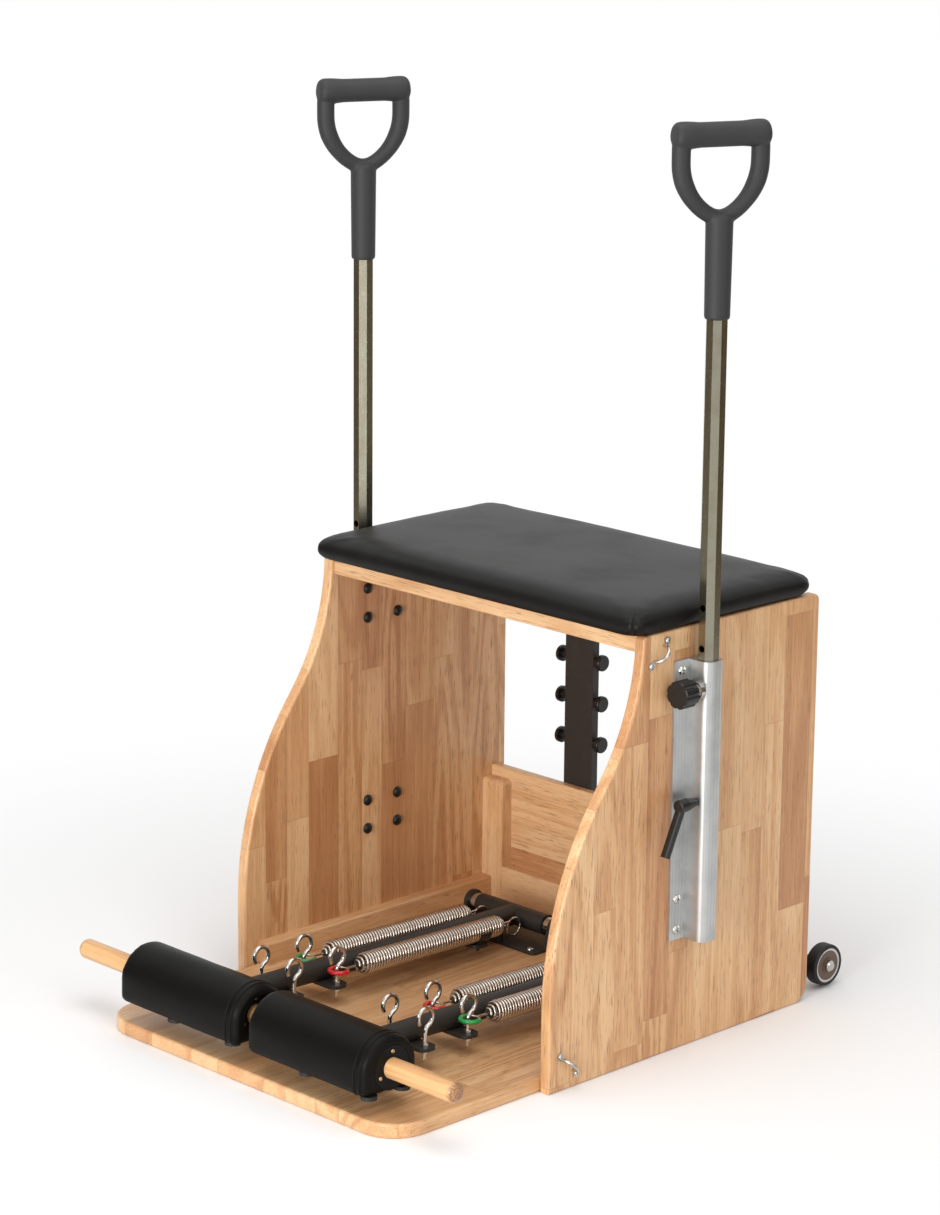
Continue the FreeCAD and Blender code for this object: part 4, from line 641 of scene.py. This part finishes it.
def roundedLoop(halfX, halfY, radius, z, along=14, turn=7):
    def spot(corner, degrees):
        angle = math.radians(degrees)
        return ((halfX - radius) * corner[0] + radius * math.cos(angle),
                (halfY - radius) * corner[1] + radius * math.sin(angle), z)

    loop = []
    for k, corner in enumerate(corners):
        loop += [spot(corner, 90 * (k + step / turn)) for step in range(turn + 1)]
        here, there = np.array(loop[-1]), np.array(spot(corners[(k + 1) % 4], 90 * (k + 1)))
        loop += [tuple(here + (there - here) * step / along) for step in range(1, along)]
    return loop


def makeSeat():
    loops = []
    for lift, inset in seat["rings"]:
        pull = inset + seat["slack"]
        halfX, halfY = (half - pull for half in seat["half"])
        loops.append(roundedLoop(halfX, halfY, seat["corner"] + inset * seat["cornerGrowth"], lift))
    piece = newPiece("seat_cover", loft("seat_cover", loops), "seatLeather")
    piece = modify(piece, "REMESH", mode="VOXEL", voxel_size=seat["voxel"])
    found = points(piece.data)
    inflate(piece, found[:, 2] < seat["voxel"] * seat["heldShare"], seat["push"], seat["limit"])
    piece = modify(piece, "SUBSURF", levels=1, render_levels=1)
    work = bmesh.new()
    work.from_mesh(piece.data)
    cornerX, cornerY = seat["half"][0] - seat["corner"], seat["half"][1] - seat["corner"]
    near = []
    for edge in work.edges:
        away = [c for v in edge.verts for c in (abs(v.co.x) - cornerX, abs(v.co.y) - cornerY)]
        if min(away) > seat["fineZone"][0] and max(away) < seat["fineZone"][1]:
            near.append(edge)
    bmesh.ops.subdivide_edges(work, edges=near, cuts=1, use_grid_fill=True)
    bmesh.ops.triangulate(work, faces=[f for f in work.faces if len(f.verts) > 4])
    work.to_mesh(piece.data)
    work.free()
    # scaled to the finished size, then pleats and pulls are pressed in along the normals
    found = points(piece.data)
    reach = np.abs(found[:, :2]).max(axis=0)
    found[:, :2] *= np.array(seat["half"]) / reach
    found[:, 2] = np.maximum(found[:, 2], 0.0) * seat["fullHeight"] / found[:, 2].max()
    u, v = (np.abs(found[:, k]) / seat["half"][k] for k in (0, 1))
    found[:, 2] *= 1 - seat["edgeDrop"] * (u ** 4 + v ** 4) - seat["cornerDrop"] * (u * v) ** 5
    setPoints(piece.data, found)
    out = normals(piece.data)
    move = np.zeros(len(found))
    x, y, z = found.T
    rise = np.clip(z / seat["fullHeight"], 0, 1)
    start = np.clip(rise / seat["pressStart"], 0, 1)  # nothing is pressed in at the foot
    pleatFade, lipFade = (np.clip((seat[k][0] - rise) / seat[k][1], 0, 1) for k in ("pleatTop", "lipTop"))
    for sx in (1, -1):
        for sy in (1, -1):
            u, v = x * sx - cornerX, y * sy - cornerY
            inside = (u > -seat["pleatZone"]) & (v > -seat["pleatZone"])
            arc = (np.arctan2(v, u) - math.radians(seat["pleatAngle"])) * seat["corner"]
            fold = np.exp(-(arc / seat["pleatWidth"]) ** 2) * pleatFade * start
            lip = np.exp(-((arc - seat["lipPlace"]) / seat["lipWidth"]) ** 2) * lipFade * start
            move += inside * (lip * seat["lipHeight"] - fold * seat["pleatDepth"])
    height, spread = seat["crumpleBand"]
    band = np.exp(-((rise - height) / spread) ** 2)
    for k, place in enumerate(found):
        wave = noise.noise(Vector(place * seat["crumpleScale"]))
        slow = noise.noise(Vector(place * seat["sagScale"] + seat["sagSpot"]))
        move[k] += band[k] * wave * seat["crumple"] + rise[k] ** 3 * slow * seat["sag"]
    move[z < seat["flatFoot"]] = 0
    found += out * move[:, None]
    found += np.array((*seat["middle"], seat["foot"]))
    setPoints(piece.data, found)
    tidyMesh(piece.data)
    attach(piece, "frame")
    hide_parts("seat_cushion")


makeSeat()
print("seat cushion made")

# Everything on a pedal is made in the pedal's own place, then laid at its tilt
pedal = {"across": 0.129, "pivot": (0.25, 0.05), "tilt": 1.6}


def pedalPlace(sign):
    return (Matrix.Translation((pedal["across"] * sign, *pedal["pivot"]))
            @ Matrix.Rotation(math.radians(-pedal["tilt"]), 4, "X"))


# Pedal pad: a loaf-shaped cover with two raised bands near its right end and sunk end plates
pad = {
    "offset": 0.003, "half": 0.109, "axis": (-0.596, 0.012), "depth": 0.048, "foot": -0.021,
    "shoulder": 0.019, "top": 0.056, "footCorner": 0.008,
    "footPoints": 12, "bendPoints": 5, "wallPoints": 6, "crestPoints": 33,  # around the section
    "slack": 0.0026, "voxel": 0.0042, "heldShare": 0.7, "push": 4.0, "limit": 0.004,
    "leftEnd": [(0.0, 0.0050), (0.0010, 0.0022), (0.0032, 0.0004), (0.0080, 0.0)],  # back from the end, inset
    "rightEnd": [(0.0, 0.0095), (0.0012, 0.0052), (0.0035, 0.0022), (0.0075, 0.0004), (0.012, 0.0)],
    "reach": {"left": (0.008, 0.014), "right": (0.010, 0.0)},  # how far the cover stands past its end plates
    "straight": 0.09, "straightRings": 9, "slackDepth": 0.0005, "slackScale": (18, 26, 26), "slackShift": 3,
    "smoothEnd": 0.004, "smoothRound": 0.034,  # no slack on the ends
    "bands": (0.0115, 0.0215), "bandRadius": 0.0017, "bandSink": 0.35, "bandPoints": (120, 10),
    "outside": 0.2,  # safely away from the cover
    "plateRadius": 0.0306, "plateDepth": 0.0032, "plateSegments": 56, "bore": 0.0146, "past": 0.02,
    "sharp": 50,
}


def padSection(inset):
    depth, foot, corner = pad["depth"] - inset, pad["foot"] + inset, pad["footCorner"]
    top, shoulder = pad["top"] - inset, pad["shoulder"]
    rise = top - shoulder
    radius = (depth * depth + rise * rise) / (2 * rise)
    sweep = math.asin(min(1.0, depth / radius))
    bendUp = np.linspace(0, math.pi / 2, pad["bendPoints"])
    bendDown = np.linspace(math.pi / 2, 0, pad["bendPoints"])
    wallUp = np.linspace(foot + corner, shoulder, pad["wallPoints"])[1:-1]
    wallDown = np.linspace(shoulder, foot + corner, pad["wallPoints"])[1:-1]
    crest = np.linspace(sweep, -sweep, pad["crestPoints"])
    count = pad["footPoints"]
    spots = [(-depth + 2 * depth * k / count, foot) for k in range(2, count - 1)]
    spots += [(depth - corner + corner * math.sin(a), foot + corner - corner * math.cos(a)) for a in bendUp]
    spots += [(depth, z) for z in wallUp]
    spots += [(radius * math.sin(a), top - radius + radius * math.cos(a)) for a in crest]
    spots += [(-depth, z) for z in wallDown]
    spots += [(-depth + corner - corner * math.sin(a), foot + corner - corner * math.cos(a))
              for a in bendDown]
    return spots


def makePad(side, sign):
    middle = pad["offset"] * sign
    first, last = -pad["half"] - pad["reach"][side][0], pad["half"] + pad["reach"][side][1]
    stations = [(first + back, inset) for back, inset in pad["leftEnd"]]
    stations += [(x, 0.0) for x in np.linspace(-pad["straight"], pad["straight"], pad["straightRings"])]
    stations += [(last - back, inset) for back, inset in reversed(pad["rightEnd"])]
    loops = [[(x, y + pad["axis"][0], z) for y, z in padSection(inset + pad["slack"])]
             for x, inset in stations]
    name = f"pad_cover_{side}"
    piece = newPiece(name, loft(name, loops), "padLeather")
    piece = modify(piece, "REMESH", mode="VOXEL", voxel_size=pad["voxel"])
    found = points(piece.data)
    ends = (found[:, 0] > last - pad["voxel"]) | (found[:, 0] < first + pad["voxel"])
    under = found[:, 2] < pad["foot"] + pad["slack"] + pad["voxel"] * pad["heldShare"]
    inflate(piece, ends | under, pad["push"], pad["limit"])
    piece = modify(piece, "SUBSURF", levels=1, render_levels=1)
    found = points(piece.data)
    front, rear = pad["axis"][0] - pad["depth"], pad["axis"][0] + pad["depth"]
    for axis, low, high in ((0, first, last), (1, front, rear), (2, pad["foot"], pad["top"])):
        small, big = found[:, axis].min(), found[:, axis].max()
        found[:, axis] = low + (found[:, axis] - small) / (big - small) * (high - low)
    # the slight slack of a wrapped cover, and two raised bands near the right end
    back = np.minimum(last - found[:, 0], found[:, 0] - first)
    spread = np.hypot(found[:, 1] - pad["axis"][0], found[:, 2] - pad["axis"][1])
    setPoints(piece.data, found)
    out = normals(piece.data)
    for k, place in enumerate(found):
        wave = noise.noise(Vector(place * pad["slackScale"] + (sign * pad["slackShift"], 0, 0)))
        loose = (back[k] > pad["smoothEnd"]) * (spread[k] > pad["smoothRound"])
        found[k] += out[k] * wave * pad["slackDepth"] * loose
    setPoints(piece.data, found)
    bands = [bandRing(piece, last - gap, name) for gap in pad["bands"]]
    far, sunk = pad["half"] + pad["past"], pad["half"] - pad["plateDepth"]
    spool = [(0.0, far), (pad["plateRadius"], far), (pad["plateRadius"], sunk), (pad["bore"], sunk)]
    bobbin = [(reach, -height) for reach, height in spool] + spool[::-1]
    tool = newPiece("bobbin", turned("bobbin", bobbin, pad["plateSegments"]))
    tool.data.transform(Matrix.Translation((0, *pad["axis"])) @ Matrix.Rotation(math.pi / 2, 4, "Y"))
    tidyMesh(tool.data)
    carve(piece, [tool])
    whole = bmesh.new()
    whole.from_mesh(piece.data)
    for band in bands:
        whole.from_mesh(band)
    for face in whole.faces:
        face.smooth = True
        face.material_index = 0
    whole.to_mesh(piece.data)
    whole.free()
    piece.data.materials.clear()
    piece.data.materials.append(finishes["padLeather"])
    piece.data.transform(pedalPlace(sign) @ Matrix.Translation((middle, 0, 0)))
    piece.data.update()
    sharpen(piece, pad["sharp"])
    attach(piece, f"pedal_{side}")
    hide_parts(f"pedal_pad_{side}")


def sharpen(piece, degrees):
    # shading breaks only where the faces meet at more than this
    work = bmesh.new()
    work.from_mesh(piece.data)
    for edge in work.edges:
        edge.smooth = len(edge.link_faces) == 2 and edge.calc_face_angle(0.0) < math.radians(degrees)
    work.to_mesh(piece.data)
    work.free()


def bandRing(piece, x, name):
    # a round cord laid on the cover where a plane across it cuts the skin
    middle = Vector((x, *pad["axis"]))
    around, across = (np.linspace(0, 2 * math.pi, count, endpoint=False) for count in pad["bandPoints"])
    ring = []
    for angle in around:
        ray = Vector((0, math.cos(angle), math.sin(angle)))
        _, spot, _, _ = piece.ray_cast(middle + ray * pad["outside"], -ray)
        ring.append(spot - ray * pad["bandRadius"] * pad["bandSink"])
    level = Vector((1, 0, 0))
    loops = []
    for k, spot in enumerate(ring):
        ahead = (ring[(k + 1) % len(ring)] - ring[k - 1]).normalized()
        lift = ahead.cross(level)
        loop = []
        for angle in across:
            out, up = math.cos(angle) * pad["bandRadius"], math.sin(angle) * pad["bandRadius"]
            loop.append(spot + level * out + lift * up)
        loops.append(loop)
    return loft(name + "_band", loops, ends=False)


for side, sign in sides:
    makePad(side, sign)
print("pedal pads made")

# Springs: close coils drawn in at both ends, with a ring at each end
spring = {
    "turns": 56.0, "length": 0.285, "radius": 0.0136, "wire": 0.0020, "taper": 0.014, "endShare": 0.45,
    "offset": 0.034, "height": 0.006, "front": -0.345, "turnPoints": 18, "ringPoints": 40,
    "frontRing": (0.0, -0.379, 0.006), "rearRing": (0.0, -0.036, -0.003),
    "ringRadius": 0.013, "ringWire": 0.0018,
    "stemInside": 0.010, "rearStem": 0.0094,  # the straight wires between the coils and the rings
    "plugRadius": 0.0050, "plugLength": 0.008, "plugOut": 0.001, "plugNose": (0.7, 0.3), "plugSegments": 18,
}


def makeSprings(side, sign):
    sizes = ("turns", "length", "radius", "wire", "taper")
    recipe = Recipe(f"spring_coils_{side}", **{k: spring[k] for k in sizes}, material=finishes["springSteel"])
    turns, length, radius, wire, taper = (recipe.input(k) for k in sizes)
    spiral = recipe.node("GeometryNodeCurveSpiral", None, {
        "Resolution": spring["turnPoints"], "Rotations": turns, "Height": length,
        "Start Radius": radius, "End Radius": radius})
    x, y, z = recipe.parts(recipe.node("GeometryNodeInputPosition"))
    full = recipe.smooth(recipe.maths("MINIMUM", z, length - z), 0.0, taper)
    shrink = spring["endShare"] + (1 - spring["endShare"]) * full
    drawn = recipe.node("GeometryNodeSetPosition", None, {
        "Geometry": spiral, "Position": recipe.vector(x * shrink, y * shrink, z)})
    start, lying = (0.0, spring["front"], spring["height"]), (-math.pi / 2, 0.0, 0.0)
    coil = recipe.move(recipe.tube(drawn, wire), start, lying)
    hoop = recipe.node("GeometryNodeCurvePrimitiveCircle", None, {
        "Resolution": spring["ringPoints"], "Radius": spring["ringRadius"]})
    hoop = recipe.tube(hoop, spring["ringWire"])
    stems = []
    front, rear = spring["front"], spring["front"] + spring["length"]
    for near, far in ((front + spring["stemInside"], spring["frontRing"][1] + spring["ringRadius"]),
                      (rear - spring["stemInside"], spring["rearRing"][1] - spring["rearStem"])):
        path = recipe.node("GeometryNodeCurvePrimitiveLine", None, {
            "Start": (0.0, near, spring["height"]), "End": (0.0, far, spring["height"])})
        stems.append(recipe.tube(path, spring["ringWire"]))
    upright = (0.0, math.pi / 2, 0.0)
    rings = [recipe.move(hoop, spring["frontRing"]), recipe.move(hoop, spring["rearRing"], upright)]
    whole = recipe.node("GeometryNodeJoinGeometry", None, {"Geometry": [coil, *rings, *stems]})
    pair = recipe.node("GeometryNodeMeshLine", {"mode": "END_POINTS"}, {
        "Count": 2, "Start Location": (-spring["offset"], 0.0, 0.0), "Offset": (spring["offset"], 0.0, 0.0)})
    piece = recipe.make(f"spring_coils_{side}", recipe.node("GeometryNodeInstanceOnPoints", None, {
        "Points": pair, "Instance": whole}))
    piece.data.transform(pedalPlace(sign))
    tidyMesh(piece.data)
    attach(piece, f"pedal_{side}")
    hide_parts(f"springs_{side}")


for side, sign in sides:
    makeSprings(side, sign)
print("springs made")


def scatter(name, template, places, body, finish, seed, sharp=35):
    # copies of a template at the given places, each along its aim with a turn of its own
    host = bpy.data.meshes.new(name)
    host.from_pydata([tuple(place) for place, _ in places], [], [])
    aims = host.attributes.new("aim", "FLOAT_VECTOR", "POINT")
    aims.data.foreach_set("vector", np.array([tuple(aim) for _, aim in places], dtype=float).ravel())
    recipe = Recipe(name, template=template, seed=seed, material=finishes[finish])
    shape = recipe.node("GeometryNodeObjectInfo", None, {"Object": recipe.input("template")}, "Geometry")
    aim = recipe.node("GeometryNodeInputNamedAttribute", {"data_type": "FLOAT_VECTOR"}, {"Name": "aim"})
    upright = recipe.node("FunctionNodeAlignRotationToVector", {"axis": "Z"}, {"Vector": aim})
    angle = recipe.node("FunctionNodeRandomValue", {"data_type": "FLOAT"}, {
        "Min_001": 0.0, "Max_001": math.pi, "Seed": recipe.input("seed")}, "Value_001")
    spin = recipe.node("FunctionNodeAxisAngleToRotation", None, {"Axis": (0.0, 0.0, 1.0), "Angle": angle})
    turn = recipe.node("FunctionNodeRotateRotation", {"rotation_space": "LOCAL"}, {
        "Rotation": upright, "Rotate By": spin})
    piece = recipe.make(name, recipe.node("GeometryNodeInstanceOnPoints", None, {
        "Points": recipe.input("Host"), "Instance": shape, "Rotation": turn}), host)
    bpy.data.objects.remove(template)
    sharpen(piece, sharp)
    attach(piece, body)
    return piece


# Cross-head screws: a domed head with a cross pressed into it
crossHead = {
    "dome": ((0.0, 1.0), (0.4, 0.97), (0.68, 0.84), (0.88, 0.58), (0.98, 0.26), (1.0, 0.0)),  # out and up
    "cross": ((0.30, 0.26, 0.05), (1.3, 0.62, 0.13)),  # height, then half length and half width of a slot
    "segments": 28,
}
screwKinds = {  # node, the head's crown, shank radius and reach, way it points
    "bracketScrews": {"node": "bracket_screws", "crown": 0.0036, "shank": 0.0028, "reach": 0.024,
                      "up": False, "seed": 4},
    "strapScrews": {"node": "eye_strap_screws", "crown": 0.0019, "shank": 0.0015, "reach": 0.010,
                    "up": False, "seed": 7},
    "pivotScrews": {"node": "pivot_screws", "crown": 0.0026, "shank": 0.0024, "reach": 0.011,
                    "up": True, "seed": 9},
}


def crossScrew(name, radius, crown, shank, reach):
    # the head's tables are shares of its radius and crown
    profile = [(radius * out, crown * rise) for out, rise in crossHead["dome"]]
    profile += [(shank, 0.0), (shank, -reach), (0.0, -reach - shank)]
    head = newPiece(name, turned(name, profile, crossHead["segments"]))
    tools = []
    for turn in (0, math.pi / 2):
        loops = []
        for rise, along, across in crossHead["cross"]:
            loops.append([(radius * along * u, radius * across * v, crown * rise) for u, v in corners])
        tool = newPiece("cross", loft("cross", loops))
        tool.data.transform(Matrix.Rotation(turn, 4, "Z"))
        tools.append(tool)
    return carve(head, tools)


for title, screw in screwKinds.items():
    places = []
    for low, high in islands(screw["node"]):
        spot, way = (low + high) / 2, Vector((0, 0, 1))
        if screw["up"]:
            spot[2] = high[2] - screw["crown"]
            radius = (high[1] - low[1]) / 2
        else:
            way = Vector((math.copysign(1, spot[0]), 0, 0))
            spot[0] = (high[0] - screw["crown"]) if spot[0] > 0 else (low[0] + screw["crown"])
            radius = (high[2] - low[2]) / 2
        places.append((spot, way))
    head = crossScrew(title, radius, screw["crown"], screw["shank"], screw["reach"])
    piece = scatter(screw["node"] + "_heads", head, places, "frame", "zincSteel", screw["seed"])
    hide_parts(screw["node"])
    print(title, len(places), "of radius", round(radius * 1000, 2))

# Button screws that hold the spring trees, two at the rear panel and one at the seat rail
treeScrews = {
    "across": 0.129, "face": 0.391, "heights": (0.112, 0.196, 0.566), "radius": 0.0055, "crown": 0.0030,
    "shank": 0.0026, "reach": 0.020, "seed": 6,
}
places = [(Vector((treeScrews["across"] * sign, treeScrews["face"], z)), Vector((0, 1, 0)))
          for _, sign in sides for z in treeScrews["heights"]]
head = crossScrew("treeScrew", *(treeScrews[k] for k in ("radius", "crown", "shank", "reach")))
scatter("tree_screws", head, places, "frame", "blackPlastic", treeScrews["seed"])

# Brass screws on the pads' end plates, and a dark plug inside each end of the springs
plateScrews = {
    "radius": 0.0029, "crown": 0.0015, "shank": 0.0014, "reach": 0.008,
    "circle": 0.0222, "angles": (88, -32, -152), "seed": 3, "plugSeed": 5,
}


def makePedalTrim(side, sign):
    lay = pedalPlace(sign)
    places = []
    for way in (1, -1):
        for angle in plateScrews["angles"]:
            turn = math.radians(angle)
            spot = Vector((pad["offset"] * sign + pad["half"] * way,
                           pad["axis"][0] + plateScrews["circle"] * math.cos(turn),
                           pad["axis"][1] + plateScrews["circle"] * math.sin(turn)))
            places.append((lay @ spot, Vector((way, 0, 0))))
    head = crossScrew("plateScrew", *(plateScrews[k] for k in ("radius", "crown", "shank", "reach")))
    piece = scatter(f"plate_screws_{side}", head, places, f"pedal_{side}", "brass", plateScrews["seed"])
    radius, length = spring["plugRadius"], spring["plugLength"]
    blunt, bevel = spring["plugNose"]
    profile = [(0.0, 0.0), (radius * blunt, 0.0), (radius, length * bevel), (radius, length), (0.0, length)]
    plug = newPiece("plug", turned("plug", profile, spring["plugSegments"]))
    first, last = spring["front"] - spring["plugOut"], spring["front"] + spring["length"] + spring["plugOut"]
    places = []
    for x in (-spring["offset"], spring["offset"]):
        for y, way in ((first, 1), (last, -1)):
            places.append((lay @ Vector((x, y, spring["height"])), lay.to_3x3() @ Vector((0, way, 0))))
    seed = plateScrews["plugSeed"]
    piece = scatter(f"spring_plugs_{side}", plug, places, f"pedal_{side}", "blackSteel", seed)


for side, sign in sides:
    makePedalTrim(side, sign)
print("pedal trim made")

# Hand grips: the moulded skin flows over every joint of the loop
grip = {
    "axis": (0.3335, 0.138), "foot": 1.001, "socketTop": 1.1256, "socketReach": 0.0153,
    "voxel": 0.0015, "rounds": 22, "smoothing": 0.5, "swell": 0.0012,
    "legs": (1.145, 1.175, 1.222),  # heights where they start, are full and end
    "legFade": 0.02, "legSwell": 0.0017,
}


def makeGrip(side, sign):
    node = f"hand_grip_{side}"
    work = bmesh.new()
    work.from_mesh(nodes[node].data)
    bmesh.ops.remove_doubles(work, verts=work.verts, dist=cadWeld)
    inner = []
    for face in work.faces:
        spot = face.calc_center_median()
        away = math.hypot(spot.x - grip["axis"][0] * sign, spot.y - grip["axis"][1])
        if away < grip["socketReach"] and spot.z < grip["socketTop"]:
            inner.append(face)
    bmesh.ops.delete(work, geom=inner, context="FACES")
    bmesh.ops.holes_fill(work, edges=[e for e in work.edges if len(e.link_faces) == 1], sides=0)
    mesh = bpy.data.meshes.new(f"grip_skin_{side}")
    work.to_mesh(mesh)
    work.free()
    tidyMesh(mesh)
    piece = newPiece(f"grip_skin_{side}", mesh, "charcoalPlastic")
    piece = modify(piece, "REMESH", mode="VOXEL", voxel_size=grip["voxel"])
    piece = modify(piece, "SMOOTH", factor=grip["smoothing"], iterations=grip["rounds"])
    found = points(piece.data)
    low, full, high = grip["legs"]  # the loop's legs are fuller than the sleeve and the bar
    rise = np.clip((found[:, 2] - low) / (full - low), 0, 1)
    rise = rise * np.clip((high + grip["legFade"] - found[:, 2]) / grip["legFade"], 0, 1)
    found += normals(piece.data) * (grip["swell"] + grip["legSwell"] * rise)[:, None]
    found[:, 2] = np.maximum(found[:, 2], grip["foot"])
    setPoints(piece.data, found)
    tidyMesh(piece.data)
    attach(piece, f"handle_{side}")
    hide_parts(node)


for side, sign in sides:
    makeGrip(side, sign)
print("hand grips made")


# Camera, floor and studio light
view = {
    "place": (3.3925, -3.3304, 1.7960), "lens": 107.577,
    "azimuth": 45.3078, "elevation": 14.3552, "roll": 0.4917,
}


def makeCamera():
    turn, lift, roll = (math.radians(view[k]) for k in ("azimuth", "elevation", "roll"))
    back = Vector((math.sin(turn) * math.cos(lift), -math.cos(turn) * math.cos(lift), math.sin(lift)))
    level = Vector((math.cos(turn), math.sin(turn), 0))
    rise = back.cross(level)
    right = level * math.cos(roll) + rise * math.sin(roll)
    top = rise * math.cos(roll) - level * math.sin(roll)
    data = bpy.data.cameras.new("photoCamera")
    data.lens = view["lens"]
    camera = bpy.data.objects.new("photoCamera", data)
    camera.matrix_world = Matrix.Translation(view["place"]) @ Matrix((right, top, back)).transposed().to_4x4()
    scene.collection.objects.link(camera)
    scene.camera = camera


studio = {
    "skyFill": 0.58,
    "floorTone": (0.93, 0.93, 0.93, 1.0), "floorShade": (0.8, 0.8, 0.8, 1.0), "floorHalf": 9,
    "floorFade": (0.5, 1.5),  # distances where the floor starts and ends its change to white
    "flags": [((-1.5, -1.5, 0.75), 1.5), ((1.6, 1.6, 0.6), 1.3)],  # dark cards that only reflections see
    "flagRise": 0.9, "flagCloth": (tint(112, 96, 74), tint(122, 106, 84)),
    "lamps": [  # name, place, aim, size, power
        ("overhead", (0.3, -0.3, 3.4), (0.0, 0.0, 0.4), 2.6, 44.0),
        ("keySide", (3.6, -1.0, 2.4), (0.1, 0.1, 0.5), 1.8, 20.0),
        ("frontFill", (0.8, -4.1, 1.1), (0.0, 0.3, 0.25), 2.2, 74.0),
        ("insideFill", (0.9, -2.3, 0.45), (-0.25, 0.25, 0.22), 0.8, 20.0),
    ],
}


def makeStudio():
    sky = scene.world or bpy.data.worlds.new("studioSky")
    scene.world = sky
    sky.use_nodes = True
    graph = Graph(sky.node_tree)
    graph.tree.nodes.clear()
    ray = graph.tree.nodes.new("ShaderNodeLightPath")
    seen = [Wire(graph, ray.outputs[k]) for k in ("Is Camera Ray", "Is Glossy Ray", "Is Transmission Ray")]
    shown = graph.maths("MAXIMUM", graph.maths("MAXIMUM", seen[0], seen[1]), seen[2])
    fill = graph.node("ShaderNodeBackground", None, {"Color": (1, 1, 1, 1), "Strength": studio["skyFill"]})
    white = graph.node("ShaderNodeBackground", None, {"Color": (1, 1, 1, 1), "Strength": 1.0})
    both = graph.node("ShaderNodeMixShader", None, {0: shown, 1: fill, 2: white})
    out = graph.tree.nodes.new("ShaderNodeOutputWorld")
    graph.tree.links.new(both.socket, out.inputs["Surface"])
    for name, place, aim, size, power in studio["lamps"]:
        data = bpy.data.lights.new(name, "AREA")
        data.shape = "SQUARE"
        data.size = size
        data.energy = power
        lamp = bpy.data.objects.new(name, data)
        lamp.location = place
        lamp.rotation_euler = (Vector(aim) - Vector(place)).to_track_quat("-Z", "Y").to_euler()
        scene.collection.objects.link(lamp)
    mesh = bpy.data.meshes.new("studioFloor")
    half = studio["floorHalf"]
    sheet = [(-half, -half, 0), (half, -half, 0), (half, half, 0), (-half, half, 0)]
    mesh.from_pydata(sheet, [], [(0, 1, 2, 3)])
    floor = bpy.data.objects.new("studioFloor", mesh)
    scene.collection.objects.link(floor)
    pale = Finish("studioFloor", specularIorLevel=0.2)
    x, y, _ = pale.axes()
    far = pale.smooth(pale.maths("SQRT", x * x + y * y), *studio["floorFade"])
    grain = pale.noise(pale.place, 60.0, 3.0)
    pale.set(baseColor=pale.blend(grain * 0.06, studio["floorTone"], studio["floorShade"]),
             roughness=0.7 + grain * 0.1)
    glow = pale.node("ShaderNodeEmission", None, {"Color": (1, 1, 1, 1), "Strength": 1.0})
    ray = pale.tree.nodes.new("ShaderNodeLightPath")
    seen = [Wire(pale, ray.outputs[k]) for k in ("Is Camera Ray", "Is Glossy Ray")]
    shown = pale.maths("MAXIMUM", *seen)
    mixed = pale.node("ShaderNodeMixShader", None, {
        0: far * shown, 1: Wire(pale, pale.shader.outputs[0]), 2: glow})
    result = next(n for n in pale.tree.nodes if n.type == "OUTPUT_MATERIAL")
    pale.tree.links.new(mixed.socket, result.inputs[0])
    mesh.materials.append(pale.material)
    dark = Finish("flagCloth", specularIorLevel=0.1)
    weave = dark.noise(dark.place, 40.0)
    dark.set(baseColor=dark.blend(weave, *studio["flagCloth"]), roughness=0.9)
    for k, (place, width) in enumerate(studio["flags"]):
        mesh = bpy.data.meshes.new(f"flag{k}")
        half, low, high = width / 2, -place[2], studio["flagRise"]
        card = [(-half, 0, low), (half, 0, low), (half, 0, high), (-half, 0, high)]
        mesh.from_pydata(card, [], [(0, 1, 2, 3)])
        turn = Vector((place[0], place[1], 0)).to_track_quat("Y", "Z").to_matrix().to_4x4()
        mesh.transform(Matrix.Translation(place) @ turn)
        mesh.materials.append(dark.material)
        flag = bpy.data.objects.new(f"flag{k}", mesh)
        scene.collection.objects.link(flag)
        flag.visible_camera = flag.visible_diffuse = flag.visible_shadow = flag.visible_transmission = False


makeCamera()
makeStudio()
print("camera and studio set")
